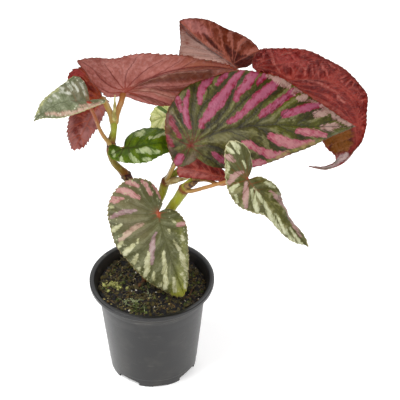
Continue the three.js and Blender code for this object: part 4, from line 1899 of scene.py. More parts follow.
class Studio:
    """A pale floor and plain soft light."""

    REACH = 4000.0  # how far the floor reaches, in millimetres
    AIM = (0.04, 0, 0.2)  # what the lamps face, in metres
    CARD = ((0.87, 0.87, 0.87, 1.0), (0.92, 0.92, 0.92, 1.0))
    GLOW = 0.33  # how much the floor adds of its own light
    SKY = 0.42

    def build(self) -> None:
        """Adds the floor, the lights and the sky."""
        corners = [(a * self.REACH, b * self.REACH, 0) for a, b in ((-1, -1), (1, -1), (1, 1), (-1, 1))]
        mesh = mesh_of("floor", corners, [(0, 1, 2, 3)])
        floor = put("floor", mesh)
        made, net = new_net("floor_card")
        net.surface(
            Base_Color=net.mix(net.noise(net.place(), 300), *self.CARD),
            Roughness=0.9,
            Emission_Color=(1.0, 1.0, 1.0, 1.0),
            Emission_Strength=self.GLOW,
        )
        mesh.materials.append(made)
        world = bpy.data.worlds.new("sky")
        world.use_nodes = True
        sky = world.node_tree.nodes["Background"].inputs
        sky[0].default_value = (1, 1, 1, 1)
        sky[1].default_value = self.SKY
        bpy.context.scene.world = world
        self.lamp("key", (-1.0, -0.5, 1.8), 1.1, 34)
        self.lamp("fill", (0.6, -1.3, 1.6), 0.8, 17)
        self.lamp("back", (0.2, 1.4, 1.5), 1.2, 10)
        bpy.context.scene.view_settings.view_transform = "Standard"

    def lamp(self, name: str, place: Point, size: float, power: float) -> None:
        """Adds a soft square lamp that faces the plant.

        Args:
            name: Its name.
            place: Its place in metres.
            size: Its side in metres.
            power: Its power in watts.
        """
        data = bpy.data.lights.new(name, "AREA")
        data.size = size
        data.energy = power
        lamp = put(name, data)
        lamp.location = place
        lamp.rotation_euler = (Vector(self.AIM) - Vector(place)).to_track_quat("-Z", "Y").to_euler()


# ---------------------------------------------------------------- the leaves

BIG_STRIPED_VEINS = (
    (0.9, (191, 145), (179, 127), (172, 119)), (0.9, (191, 145), (188, 135), (180.5, 116), (178, 104)),
    (0.9, (191, 145), (193, 132), (192, 114), (194, 91), (195, 84)),
    (0.9, (191, 145), (196, 132), (200.5, 110), (213, 96), (221, 87), (231, 75), (235, 72)),
    (0.9, (193, 144), (208, 127), (219, 118), (229, 104), (234, 87), (246, 74)),
    (0.8, (208, 138), (230, 115), (241, 103), (253, 93), (262, 83), (270, 77)),
    (0.8, (238, 128), (254, 114), (266, 99), (278, 91), (289, 85)),
    (0.8, (254, 126), (273, 111), (286, 99), (297, 92), (302, 89)),
    (0.7, (275, 124), (284, 114), (297, 104), (314, 98)), (0.6, (297, 124), (313, 114), (327, 107)),
    (0.5, (318, 126), (332, 120), (343, 116)), (0.8, (191, 146), (201, 154), (211, 160), (220, 166)),
    (0.8, (192, 146), (211, 146), (226, 151), (240, 158)),
    (0.7, (230, 131), (246, 138), (257, 145), (264, 158)),
    (0.7, (254, 126), (267, 133), (275, 146), (290, 153)), (0.7, (275, 124), (290, 131), (304, 138)),
    (0.6, (300, 124), (315, 128), (330, 132)), (0.7, (190, 146), (182, 152), (176, 155)),
    (0.7, (189, 145), (179, 141), (168, 133)), (0.7, (190, 147), (187, 155), (184, 161)),
)
BIG_STRIPED_MARKS = (
    Marks("grey_patch", rgb(98, 92, 62), rgb(122, 118, 86), (
        ((206, 139, 2), (220, 137, 6), (236, 133, 6), (246, 136, 4)), ((240, 112, 1), (250, 104, 1.2)),
        ((262, 122, 2), (282, 120, 2)),
    ), soft=4, cover=0.5),
    Marks("wine_side", rgb(84, 46, 36), rgb(110, 70, 58), (
        ((168, 118, 6), (164, 132, 7), (166, 146, 6)),
    ), soft=6, cover=0.7),
    Marks("mauve_lobe", rgb(96, 80, 66), rgb(128, 108, 96), (
        ((194, 155, 3), (188, 162, 4)), ((172, 152, 1), (170, 146, 2)),
    ), soft=4, cover=0.7),
    # painted shade in the valleys along the veins
    Marks("dark_valleys", rgb(58, 52, 26), rgb(80, 76, 46), (
        ((194, 134, 1), (195, 112, 1.6), (197, 92, 1.4)),
        ((203, 130, 2.5), (214, 121, 2.5), (224, 108, 2), (232, 92, 1.6), (240, 80, 1.2)),
        ((188, 132, 1), (183, 112, 1.2), (184, 97, 1)), ((202, 150, 2), (214, 150, 1.6), (226, 158, 2)),
        ((222, 131, 1.6), (240, 127, 2), (256, 124, 1.4)),
    ), soft=2.2, cover=0.75),
    Marks("pink_streaks", *PINK, (
        ((178, 99, 2.5), (180, 106, 2.5), (181, 112, 1)),
        ((189, 92, 1), (186, 103, 3), (185.5, 113, 3), (187, 121, 3), (190, 127, 2)),
        ((200, 103, 2), (200.5, 95, 3.5), (203, 87, 4), (208, 80, 4), (213, 75, 2)),
        ((217, 85, 1.5), (221, 79, 2.5), (226, 74, 2.5), (229, 71, 1)),
        (
            (202, 122, 3), (206, 118, 4), (212, 110, 5), (218, 102, 6.5), (224, 94, 5), (230, 86, 4),
            (236, 78, 3.5), (242, 71, 3),
        ),
        ((202, 126, 3), (203, 127, 2)),
        ((236, 99, 3), (239, 92, 3.5), (246, 86, 4.5), (250, 79, 5), (256, 73, 3.5)),
        (
            (229, 122, 2.5), (238, 117, 3), (248, 108, 3.5), (258, 97, 5), (268, 90, 5), (276, 83, 4),
            (279, 81, 2),
        ),
        ((258, 83, 2.5), (264, 77, 3), (268, 74, 2)),
        ((260, 116, 2.5), (270, 109, 4), (278, 103, 3.5), (286, 97, 3.5), (293, 92, 3.5), (299, 90, 2)),
        ((285, 114, 4), (292, 112, 3.5), (302, 109, 4), (312, 106, 3.5), (322, 105, 3)),
        ((213, 153, 1.5), (218, 157, 3), (223, 160, 3)), ((260, 149, 2), (261, 148, 1)),
        ((180, 158, 4.5), (178, 161, 4.5)),
    )),
    Marks("wine_streaks", *WINE, (
        ((171, 118, 2), (174, 127, 2.4), (179, 135, 2), (181, 138, 1)),
        ((167, 137, 2), (170, 142, 2.6), (173, 146, 1.6)),
    )),
    Marks("rose_streaks", *ROSE, (
        ((271, 136.5, 3.4), (279, 140, 5.2), (290, 143.5, 4.6), (302, 143, 3), (313, 141, 1.8)),
        ((298, 131, 2.4), (308, 132, 3.3), (318, 133.5, 2.8), (325, 135, 2)),
        ((261, 151, 3.2), (269, 154, 4.3), (277, 155.5, 3.5), (288, 153, 1.8)),
        ((243, 143, 2.5), (250, 145, 4), (257, 149, 2.5)),
        ((253, 163, 3.5), (260, 162, 3), (266, 163, 1.5)),
    )),
    Marks("heart", rgb(108, 18, 12), rgb(140, 44, 32), (
        ((188.5, 145.5, 1.6), (191.5, 145.5, 1.6)),
    ), soft=2.4, ragged=3, cover=0.9),
    Marks("lime_edge", rgb(112, 106, 44), rgb(152, 142, 70), (
        ((268, 162, 1), (290, 151.5, 1.6), (308, 143.5, 1.8), (322, 139.5, 1.2)),
    ), soft=1.6, cover=0.7),
    Marks("pale_streaks", *PALE, (
        ((318, 114, 4), (325, 112, 3.5), (332, 111, 2)), ((301, 98, 3), (306, 96, 2)),
        ((276, 80, 3), (282, 83, 3.4), (288, 86, 2.5)), ((296, 91, 2.5), (301, 90, 2.5)),
        ((324, 127, 3), (329, 128, 3), (338, 126, 1.8)),
        ((333, 116, 2), (343, 121, 2.4), (350, 124, 2.6), (355, 126, 1)), ((322, 105, 2.4), (327, 108, 2)),
        ((268, 76, 1.5), (272, 78, 2)), ((308, 100, 1.5), (314, 101, 1.6)),
    ), ragged=13, cover=0.85),
)
BIG_STRIPED = Leaf(
    "big_striped", (38, -24, 278), (13, -2, 46),
    ((19, 6, 2), (47, 10, 4), (78, 9, 4), (116, 4, 2), (155, 1, -4)),
    (
        (0, 6, -12, -6), (0, -1, -16, -9), (0, -13, -17, -11), (0, -19, -5, -8), (0, -20, 13, -6),
        (0, -15, 33, -6), (0.03, 2, 51, -8), (0.09, 29, 61, -10), (0.18, 59, 64, -11), (0.32, 85, 56, -10),
        (0.48, 108, 41, -8), (0.68, 133, 20, -6),
    ),
    (
        (0, 3, -11, -3), (0, 15, -19, -6), (0.05, 31, -24, -8), (0.14, 49, -26, -9), (0.28, 76, -22, -8),
        (0.46, 105, -13, -7), (0.7, 132, -5, -6),
    ),
    Skin(
        base=rgb(106, 102, 56), shade=rgb(64, 60, 28), light=rgb(134, 130, 88), vein=rgb(46, 40, 22),
        vein_near=rgb(114, 30, 22), rim=rgb(116, 68, 46), far=rgb(98, 98, 40), far_span=(20.0, 90.0),
        vein_cover=0.6, vein_width=0.5, near_span=(3.0, 19.0), relief=0.65, depth=0.3,
        marks=BIG_STRIPED_MARKS,
    ),
    RED_UNDER, seed=3, quilt=1.3, crinkle=0.8, tooth=0.8, spacing=1.1, veins=BIG_STRIPED_VEINS,
)

RIGHT_SMALL_MARKS = (
    Marks("dark_lobe", rgb(58, 60, 34), rgb(90, 90, 60), (
        ((240, 150, 9), (241, 166, 9)), ((250, 184, 5), (260, 190, 5)),
    ), soft=5, cover=0.85),
    Marks("cream_streaks", *CREAM, (
        ((232, 142, 1.5), (236, 147, 2), (239, 153, 1)), ((225, 146, 1.5), (229, 150, 1.5), (233, 153, 1)),
        ((243, 161, 0.8), (245, 165, 0.8), (246, 168, 0.8)),
        ((227, 163, 1.5), (228, 168, 1.6), (227, 173, 1)), ((231, 190, 1.8), (235, 186, 2), (238, 184, 1)),
        ((236, 196, 1.6), (237, 202, 1.4)),
        ((252, 190, 1.2), (254, 198, 2.1), (256, 206, 2.3), (258, 211, 1.4)),
        (
            (254, 188, 0.8), (260, 197, 1.5), (266, 206, 1.7), (272, 217, 1.8), (278, 228, 1.8),
            (283, 236, 1.2),
        ),
        ((262, 212, 0.8), (264, 215, 0.8)), ((266, 183, 1.6), (270, 184.5, 1.8), (274, 187, 1)),
        ((276, 214, 0.7), (281, 223, 1.2), (286, 232, 1.5), (292, 240, 1.4), (298, 245, 0.9)),
        ((290, 228, 0.8), (297, 238, 1.1), (303, 245, 0.9)),
    ), ragged=5.0, cover=0.9),
    Marks("blush_streaks", rgb(166, 122, 118), rgb(196, 160, 152), (
        ((226, 156, 2), (230, 158, 3), (234, 161, 1.5)),
        ((229, 183, 2), (233, 177, 3), (239, 173, 2), (243, 172, 1)),
        ((246, 183, 1.4), (246, 190, 2.6), (245.5, 198, 2.6), (246, 207, 1.6)),
        ((270, 191, 0.9), (277, 198, 1.5), (283, 205, 1.6), (288, 213, 1.2)),
        ((280, 196, 0.8), (287, 211, 1), (293, 224, 1.2), (300, 236, 1.2)),
    ), ragged=5.0, cover=0.85),
)
RIGHT_SMALL = Leaf(
    "right_small", (87, -64, 269), (-9, -52, 58), ((10, 0, 3), (28, 2, 4), (52, 2, 3), (91, 2, -3)),
    (
        (0, 2, 2, -1), (0, 8, 10, -5), (0.06, 17, 14, -6), (0.14, 30, 16, -7), (0.3, 45, 12.5, -6),
        (0.52, 66, 6.5, -5), (0.75, 81, 5, -4),
    ),
    (
        (0, -2, 1, -1), (0, -3, 10, -3), (0, -11, 15, -4), (0, -24, 17, -6), (0, -34, 10, -8),
        (0, -30, 1, -8), (0, -19, -8, -7), (0, -3, -18.5, -6), (0.05, 16, -21.5, -7), (0.12, 29, -14.5, -7),
        (0.24, 39, -7.5, -6), (0.42, 60, -8, -5), (0.66, 78, -5, -4),
    ),
    Skin(
        base=rgb(128, 124, 74), shade=rgb(86, 84, 44), light=rgb(158, 154, 112), vein=rgb(78, 78, 40),
        vein_near=rgb(126, 70, 46), rim=rgb(182, 174, 134), rim_width=1.5, vein_cover=0.6, vein_width=0.5,
        relief=0.6, marks=RIGHT_SMALL_MARKS,
    ),
    RED_UNDER, seed=8, quilt=2.0, ripple=1.6, tooth=1.1, tooth_pitch=5.0, spacing=0.95,
)

FRONT_HANGING_MARKS = (
    Marks("tip_glow", rgb(150, 152, 60), rgb(190, 190, 80), (
        ((185, 284, 3), (184, 291, 7), (178, 295, 7)),
    ), soft=4, cover=0.85),
    Marks("rosy_side", rgb(114, 96, 72), rgb(138, 122, 96), (
        ((124, 190, 16), (130, 212, 16), (142, 232, 10)),
    ), soft=12, cover=0.3),
    Marks("lime_side", rgb(108, 112, 54), rgb(146, 148, 82), (
        ((178, 222, 3), (184, 244, 4), (184, 268, 6), (178, 284, 8)),
    ), soft=6, cover=0.75),
    Marks("pink_streaks", rgb(170, 116, 110), rgb(206, 160, 154), (
        ((127, 182, 2), (133, 184, 2), (138, 186, 1.5)),
        ((118, 190, 2.5), (126, 191, 3), (133, 194, 2.5), (139, 198, 1.5)),
        ((112, 199, 2.5), (118, 199.5, 2.5), (123, 198.5, 1)), ((178, 225, 2), (183, 224, 2)),
        ((142, 181, 1.5), (146, 185, 1.8)), ((148, 189, 1.5), (151, 194, 1.8)),
        ((153, 185, 1.2), (157, 190, 1.5), (161, 197, 1.5)),
    ), ragged=5.0),
    Marks("peach_streaks", rgb(160, 132, 114), rgb(200, 176, 154), (
        ((120, 241, 1.8), (126, 235, 2.2), (131, 230, 2.4), (137, 226.5, 2), (143, 224, 1)),
    ), ragged=6.0),
    Marks("lilac_streaks", rgb(150, 114, 116), rgb(188, 164, 162), (
        ((112, 217, 1.8), (117, 214.5, 2), (123, 212, 2.5), (130, 211, 2.4), (136, 209.5, 1)),
        ((151, 263, 2.2), (151.5, 254, 2.8), (152.5, 244, 2.2), (154, 237, 1.5), (156, 233, 0.9)),
    ), ragged=5.0, cover=0.9),
    Marks("cream_streaks", rgb(168, 166, 120), rgb(212, 210, 172), (
        ((112, 206, 1.5), (114, 206, 1.3)), ((113, 230, 2.5), (118, 227, 2), (121, 225, 1)),
        ((119, 246, 1.6), (122, 242, 1.4)), ((125, 253, 2.5), (129, 249, 2.5), (134, 245, 1.5)),
        ((138, 240, 1), (138, 242, 1)), ((133, 263, 2), (136, 259, 1.8), (137, 255, 1)),
        ((139, 270, 1.1), (140, 267, 1)),
        ((146, 274, 2), (147.5, 268, 2.8), (148, 260, 2.4), (149, 252, 1.2)),
        ((154, 279, 1.5), (154, 272, 1.3)), ((161, 285, 1.2), (161, 283, 1.2)),
        (
            (165, 287, 2), (166, 280, 2.5), (164.5, 272, 2.2), (165, 265, 2), (163.5, 258, 1.5),
            (163.5, 252, 0.9),
        ),
        ((175, 291, 2), (174.5, 284, 1.6), (173.5, 278, 1)),
        ((185, 288, 1.5), (186, 282, 1.2), (184, 277, 1)), ((182, 275, 1.1), (181.5, 273, 1)),
        ((186, 270, 1.5), (183.5, 262, 2), (181, 255, 1.8), (180.5, 252, 1)),
        ((179, 249, 1.8), (177, 246, 1.5), (176, 244, 1)), ((174.5, 242, 1.1), (173.5, 240, 1)),
        ((169.5, 232, 1.2), (169, 230, 1.1)), ((174, 222, 1), (173, 220, 1)),
        ((183, 240, 1.1), (181, 236, 1.1)),
    ), ragged=5.0),
    Marks("heart", rgb(166, 72, 48), rgb(202, 122, 92), (
        ((158.5, 213, 2.2), (159, 216, 1.4)),
    ), soft=1.5, ragged=2.0),
)
FRONT_HANGING = Leaf(
    "front_hanging", (8, -22, 200), (-25, -74, 60), ((13, -1, 3), (35, -1, 4), (62, -1, 3), (95, 0, -2)),
    (
        (0, -1, 3, -1), (0, -1, 9, -2), (0, 5, 16, -4), (0.05, 16, 20, -6), (0.12, 32, 19, -7),
        (0.25, 52, 15, -6), (0.45, 71, 10, -4), (0.72, 88, 6, -2),
    ),
    (
        (0, -2, 2, -1), (0, -7, 6, -2), (0, -18, 7, -3), (0, -31, 2, -3), (0, -38, -9, -4),
        (0, -37, -23, -5), (0, -25, -37, -6), (0, -8, -45, -7), (0.03, 14, -48, -8), (0.08, 34, -47, -8),
        (0.16, 52, -40, -7), (0.3, 69, -30, -6), (0.5, 82, -20, -4), (0.75, 93, -8, -2),
    ),
    Skin(
        base=rgb(118, 118, 84), shade=rgb(88, 88, 56), light=rgb(142, 144, 110), vein=rgb(78, 80, 46),
        vein_near=rgb(150, 62, 40), rim=rgb(150, 134, 90), rim_width=1.2, near_span=(3.0, 11.0),
        vein_cover=0.5, vein_width=0.4, relief=0.5, fleck=rgb(196, 196, 154), marks=FRONT_HANGING_MARKS,
    ),
    RED_UNDER, seed=11, quilt=1.6, tooth=1.5, tooth_pitch=4.6, spacing=1.0,
)

LEFT_SILVER_MARKS = (
    Marks("dark_top", rgb(76, 78, 54), rgb(110, 106, 82), (
        ((68, 90, 6), (78, 90, 10), (87, 95, 8), (92, 99, 5)),
    ), soft=5, cover=0.95),
    Marks("silver_marks", rgb(166, 168, 148), rgb(202, 202, 188), (
        ((67, 83, 1), (70, 87, 1.2), (72, 90, 0.8)), ((73, 84, 0.9), (76, 88, 1.1), (78, 92, 0.8)),
        ((60, 92, 1.2), (66, 93, 1.4), (70, 94, 1)), ((54, 95, 1.2), (58, 98, 1)),
        ((48, 98, 1), (51, 101, 0.8)), ((81, 84, 1), (83, 88, 1.1)), ((84, 92, 1.1), (86, 95, 0.8)),
        ((61, 88, 0.9), (64, 90, 1)),
    ), soft=0.9, cover=0.85),
    Marks("lime_rim", rgb(152, 152, 100), rgb(188, 188, 136), (
        ((57, 90, 1.4), (50, 94, 1.4), (44, 99, 1.6), (40, 106, 1.6), (36, 113, 1.2)),
    ), soft=1, cover=0.8),
    Marks("blush_streaks", rgb(182, 140, 124), rgb(206, 174, 156), (
        ((46, 114, 1), (58, 114, 1.4), (72, 112, 1.6), (86, 108, 1.6), (98, 106, 1.6)),
        ((80, 105.5, 0.8), (92, 105, 1), (100, 103, 0.8)),
    ), soft=1.4, cover=0.75),
    Marks("heart", rgb(150, 44, 30), rgb(176, 70, 52), (
        ((88, 102, 1.2), (90, 102.5, 1.4)),
    ), soft=0.8, ragged=2.0),
)
LEFT_SILVER = Leaf(
    "left_silver", (-50, -26, 324), (-171, -16, -7), ((5, -1, 2), (19, -6, 4), (34, -8, 1), (52, -4, -4)),
    (
        (0, -3, 3, 1), (0, -15, 14, 9), (0, -15, 20, 11), (0.1, -7, 23, 13), (0.25, 4, 23, 13),
        (0.42, 15, 20, 11), (0.62, 29, 14, 6), (0.82, 41, 2, 0),
    ),
    (
        (0, -1, -2, 1), (0, -2, -14, 2), (0.02, 1, -27, 3), (0.08, 7, -32, 4), (0.2, 16, -28, 4),
        (0.4, 26, -26.5, 3), (0.62, 40, -24, 0), (0.83, 48, -12, -2),
    ),
    Skin(
        base=rgb(130, 136, 106), shade=rgb(96, 100, 74), light=rgb(162, 166, 138), vein=rgb(82, 90, 60),
        vein_near=rgb(134, 84, 62), rim=rgb(170, 168, 120), rim_width=0.8, vein_cover=0.5, vein_width=0.5,
        relief=0.35, fleck=rgb(206, 204, 180), marks=LEFT_SILVER_MARKS,
    ),
    Skin(
        base=rgb(164, 120, 104), shade=rgb(132, 86, 72), light=rgb(190, 150, 132), vein=rgb(150, 82, 70),
        vein_near=rgb(158, 84, 70), rim=rgb(176, 160, 120),
    ),
    seed=14, quilt=1.2, ripple=1.3, tooth=1.2, tooth_pitch=4.5, spacing=0.9,
)

LEFT_BACK_RED_MARKS = (
    Marks("pale_end", rgb(142, 80, 74), rgb(192, 130, 124), (
        ((64, 122, 12), (70, 134, 10), (72, 146, 9)), ((103, 113, 9), (92, 124, 10), (82, 138, 8)),
    ), soft=5, cover=0.9),
    Marks("rose_top", rgb(150, 46, 50), rgb(180, 74, 76), (
        ((68, 82, 6), (76, 73, 6), (82, 74, 3)),
    ), soft=4, cover=0.7),
    # painted shade just below the silver leaf in front
    Marks("dusky", rgb(102, 54, 52), rgb(138, 80, 76), (
        ((68, 113, 3), (78, 120, 4), (74, 130, 3)), ((90, 116, 3), (86, 128, 2.4)),
        ((98, 118, 2), (94, 126, 1.6)),
    ), soft=3, cover=0.7),
    Marks("blotches", rgb(104, 38, 32), rgb(134, 58, 50), (
        ((80, 124, 2.2), (82, 126, 1.5)), ((75, 129, 2), (76, 132, 1.4)), ((78, 136, 2), (80, 139, 1.4)),
        ((88, 88, 3), (92, 90, 3)),
    ), soft=1.2, cover=0.7),
)
LEFT_BACK_RED = Leaf(
    "left_back_red", (-42, 30, 291), (158, -64, 55), ((16, 0, 2), (37, 0, 3), (57, 0, 2), (72, 1, -2)),
    (
        (0, -3, 2, 0), (0, -25, 14, -3), (0, -36, 28, -5), (0, -37, 39, -6), (0, -31, 44, -7),
        (0.02, -14, 41, -7), (0.1, 6, 33, -7), (0.24, 27, 23.5, -6), (0.48, 49, 16.5, -5),
        (0.76, 62, 8, -3),
    ),
    (
        (0, 0, -2, 0), (0, 0, -5, -2), (0.08, 9, -7, -4), (0.18, 19, -8, -5), (0.34, 33, -8, -5),
        (0.56, 46, -7, -4), (0.8, 64, -6, -3),
    ),
    hidden_upper(0.8),
    Skin(
        base=rgb(166, 74, 50), shade=rgb(118, 42, 26), light=rgb(196, 106, 76), vein=rgb(190, 92, 62),
        vein_near=rgb(200, 98, 66), rim=rgb(150, 72, 58), far=rgb(190, 120, 108), far_span=(14.0, 42.0),
        vein_width=1.0, vein_cover=0.5, net_cover=0.3, gloss=0.14, marks=LEFT_BACK_RED_MARKS,
    ),
    seed=17, quilt=1.3, crinkle=1.2, tooth=2.0, tooth_pitch=6.0, spacing=0.95,
)

LEFT_BIG_RED_VEINS = (
    (1.0, (125, 90), (149, 78), (176, 71.5), (207, 69), (228, 67.5)),
    (0.9, (125, 90), (147, 86), (170, 86), (192, 83), (207, 78)),
    (0.9, (125, 91), (147, 96.5), (165, 103), (173, 106)),
    (0.8, (125, 89), (126, 73), (131, 65), (137, 57)), (0.8, (124, 89), (115, 78), (110, 71), (104, 63)),
    (0.9, (123, 90), (110, 86), (99, 78), (89, 66), (82, 61)),
    (0.8, (126, 88), (141, 73), (152, 65), (166, 58)), (0.5, (176, 71), (187, 64), (198, 57)),
    (0.5, (150, 78), (166, 69), (180, 60)), (0.7, (125, 91), (136, 95), (146, 101), (156, 106)),
    (0.7, (126, 90), (150, 91), (172, 97), (186, 101)), (0.7, (122, 92), (108, 92), (92, 82), (80, 74)),
    (0.5, (160, 88), (184, 91), (204, 92)),
)
LEFT_BIG_RED_MARKS = (
    # painted shade in the folds beside the main veins
    Marks("brown_fold", rgb(76, 40, 28), rgb(108, 64, 46), (
        ((140, 84, 1.5), (156, 79, 3.5), (175, 77, 4.5), (192, 75, 5), (208, 74, 5)),
        ((130, 94, 0.6), (146, 97.5, 1.2), (164, 105, 1.4)), ((150, 89, 0.6), (168, 90, 1.6), (186, 89, 2)),
    ), soft=2.4, cover=0.75),
    # painted highlight along the ridges of the folds
    Marks("light_fold", rgb(180, 126, 108), rgb(204, 154, 138), (
        ((134, 90, 0.5), (150, 90, 1.2), (166, 95, 2), (178, 99, 1.5)),
        ((132, 86, 0.5), (150, 79, 0.7), (176, 72.5, 0.8), (206, 70, 0.8)),
    ), soft=1.2, cover=0.7),
)
LEFT_BIG_RED = Leaf(
    "left_big_red", (-23, 18, 303), (15, 4, -77),
    ((10, -9, -2), (22, -17, -4), (39, -23, -5), (62, -23, -5), (85, -15, -3), (107, -1, 0)),
    (
        (0, 2, 3, 0), (0, 7, 4, -3), (0.03, 19, 10, -7), (0.1, 34, 16, -9), (0.2, 50, 17, -10),
        (0.38, 69, 15, -9), (0.66, 91, 6, -5),
    ),
    (
        (0, -3, 1, -1), (0, -15, -5, -4), (0, -21, -17, -6), (0, -33, -46, -9), (0, -40, -64, -10),
        (0, -27, -63.5, -9), (0, -9, -57.5, -8), (0.05, 7, -54, -7), (0.14, 23, -50.5, -7),
        (0.3, 44, -44, -6), (0.5, 63, -35, -5), (0.74, 85, -22, -3),
    ),
    hidden_upper(),
    Skin(
        base=rgb(202, 132, 122), shade=rgb(166, 96, 86), light=rgb(216, 160, 154), vein=rgb(110, 28, 20),
        stroke=0.2, vein_near=rgb(160, 62, 44), rim=rgb(146, 60, 46), far=rgb(168, 104, 80),
        far_span=(20.0, 80.0), vein_width=0.7, vein_cover=0.7, net_cover=0.12, net_size=4.5, relief=0.3,
        depth=0.3, roughness=0.4, gloss=0.18, marks=LEFT_BIG_RED_MARKS,
    ),
    seed=20, quilt=1.2, crinkle=0.8, tooth=1.8, spacing=1.1, veins=LEFT_BIG_RED_VEINS,
)

RIGHT_BIG_RED_VEINS = (
    (1.1, (256, 66), (275, 70), (292, 78), (312, 78.5), (332, 80.5), (346, 88), (358, 100), (363, 112)),
    (1.0, (256, 65), (272, 64), (290, 62), (310, 58), (330, 61), (344, 69)),
    (1.0, (256, 64), (268, 58), (283, 53), (300, 50)),
    (0.9, (288, 80), (304, 84), (320, 85), (334, 90), (345, 98), (355, 112), (360, 130)),
    (0.9, (294, 85), (312, 90), (326, 95), (338, 104), (347, 112), (355, 126), (356, 140)),
    (0.8, (300, 91), (316, 97), (330, 104), (342, 112), (350, 120)),
    (0.6, (292, 78), (298, 70), (302, 62), (304, 54)), (0.6, (312, 78.5), (317, 70), (321, 62), (327, 54)),
    (0.6, (332, 80.5), (337, 73), (346, 71), (354, 80)), (0.5, (346, 88), (354, 88), (363, 94)),
    (0.5, (275, 70), (282, 66), (286, 58)),
)
RIGHT_BIG_RED_MARKS = (
    Marks("bright_zone", rgb(164, 48, 46), rgb(190, 70, 66), (
        ((280, 54, 6), (292, 56, 6)),
    ), soft=6, cover=0.35),
    Marks("rosy_top", rgb(158, 62, 60), rgb(188, 90, 86), (
        ((268, 50, 5), (286, 62, 6), (304, 62, 5)),
    ), soft=6, cover=0.5),
    # painted shade on the lower part, where the underside turns away
    Marks("brown_zone", rgb(104, 40, 28), rgb(136, 62, 48), (
        ((304, 92, 5), (320, 104, 6), (338, 116, 5)), ((352, 136, 3), (354, 146, 3)),
    ), soft=6, cover=0.6),
    # painted shade in the creases of the crinkles
    Marks("dark_folds", rgb(96, 30, 22), rgb(124, 48, 38), (
        ((266, 49, 0.8), (269, 60, 1.5), (275, 74, 1.2)), ((283, 64, 0.6), (287, 74, 1.2)),
        ((296, 66, 0.7), (302, 72, 1.2)), ((308, 64, 0.9), (310, 76, 1.3)),
        ((318, 62, 0.9), (320, 70, 1.3)), ((327, 65, 1), (334, 71, 1.3)), ((302, 57, 0.7), (308, 58, 0.9)),
        ((292, 80, 0.7), (309, 81, 0.9), (323, 88, 1), (334, 95, 1), (344, 110, 0.9), (353, 122, 0.6)),
        ((296, 86, 0.7), (314, 88, 0.9), (331, 94, 1), (341, 103, 0.7)),
        ((312, 94, 0.6), (326, 100, 0.9), (336, 108, 0.6)),
    ), soft=1.3, ragged=3, cover=0.65),
    Marks("shine_folds", rgb(182, 96, 86), rgb(208, 134, 122), (
        ((271, 50, 0.4), (274, 62, 0.7), (280, 72, 0.5)), ((312, 65, 0.4), (313, 74, 0.6)),
        ((322, 63, 0.4), (324, 71, 0.6)), ((331, 64, 0.4), (337, 70, 0.5)),
        ((300, 64, 0.5), (306, 70, 0.6)), ((338, 96, 1.2), (344, 102, 1)),
        ((296, 77.5, 0.4), (320, 83, 0.5), (336, 91, 0.4)), ((282, 54, 1), (290, 52, 0.8)),
    ), soft=1.0, ragged=3, cover=0.7),
    # painted shade and painted light shining through the curled tip of the leaf
    Marks("olive_zone", rgb(72, 42, 22), rgb(128, 84, 32), (
        ((329, 142, 6), (338, 137, 9), (345, 134, 8)), ((334, 148, 6), (343, 146, 7), (348, 142, 5)),
    ), soft=3, cover=0.9),
    Marks("pale_tip", rgb(150, 116, 118), rgb(204, 182, 178), (
        ((347, 156, 3), (338, 160, 3.5), (332, 165, 3)), ((330, 166, 4), (320, 168, 4), (312, 167, 3)),
    ), soft=1, cover=0.85),
    Marks("grey_tip", rgb(86, 90, 74), rgb(140, 142, 124), (
        ((309, 167, 2), (316, 169.5, 2), (324, 169.5, 1.8), (330, 168, 1)),
        ((338, 159, 0.8), (335, 162.5, 1)),
    ), soft=1.5, ragged=4, cover=0.85),
)
RIGHT_BIG_RED = Leaf(
    "right_big_red", (112, 54, 292), (3, -13, -77),
    (
        (14, -7, 0), (30, -13, 0), (48, -13, 2), (66, -4, 4), (81, 10, 5), (93, 31, 5), (99, 50, 2),
        (100, 68, -4), (93, 80, -10), (78, 88, -14), (60, 88, -14),
    ),
    (
        (0, 0, 5, -1), (0, -1, 12, -6), (0.04, 10, 21, -9), (0.12, 26, 30, -10), (0.24, 42, 39, -10),
        (0.4, 54, 46, -10), (0.56, 64, 54, -10), (0.66, 71, 63, -11), (0.74, 80, 70, -12),
        (0.81, 82, 77, -13), (0.9, 74, 85, -14),
    ),
    (
        (0, -5, -4, 0), (0, -16, -12, -3), (0, -25, -21, -5), (0, -26, -37, -6), (0.02, -22, -47, -7),
        (0.06, -4, -53, -8), (0.12, 17, -54, -9), (0.2, 37, -50, -9), (0.28, 56, -41, -8),
        (0.38, 75.5, -26, -6), (0.47, 88, -8, -4), (0.56, 95, 13, -2), (0.65, 102, 37, -1),
        (0.73, 104.5, 58, -3), (0.8, 98.5, 70, -7), (0.87, 90, 81.5, -11), (0.94, 78, 89.5, -14),
    ),
    hidden_upper(),
    Skin(
        base=rgb(166, 70, 62), shade=rgb(114, 40, 32), light=rgb(196, 108, 98), vein=rgb(176, 88, 76),
        stroke=0.25, vein_near=rgb(190, 96, 84), rim=rgb(140, 44, 38), vein_width=0.7, vein_cover=0.45,
        net_cover=0.1, net_size=4.0, relief=0.7, depth=0.6, roughness=0.42, gloss=0.16,
        marks=RIGHT_BIG_RED_MARKS,
    ),
    seed=23, quilt=0.9, crinkle=1.7, tooth=1.0, spacing=1.0, veins=RIGHT_BIG_RED_VEINS,
)

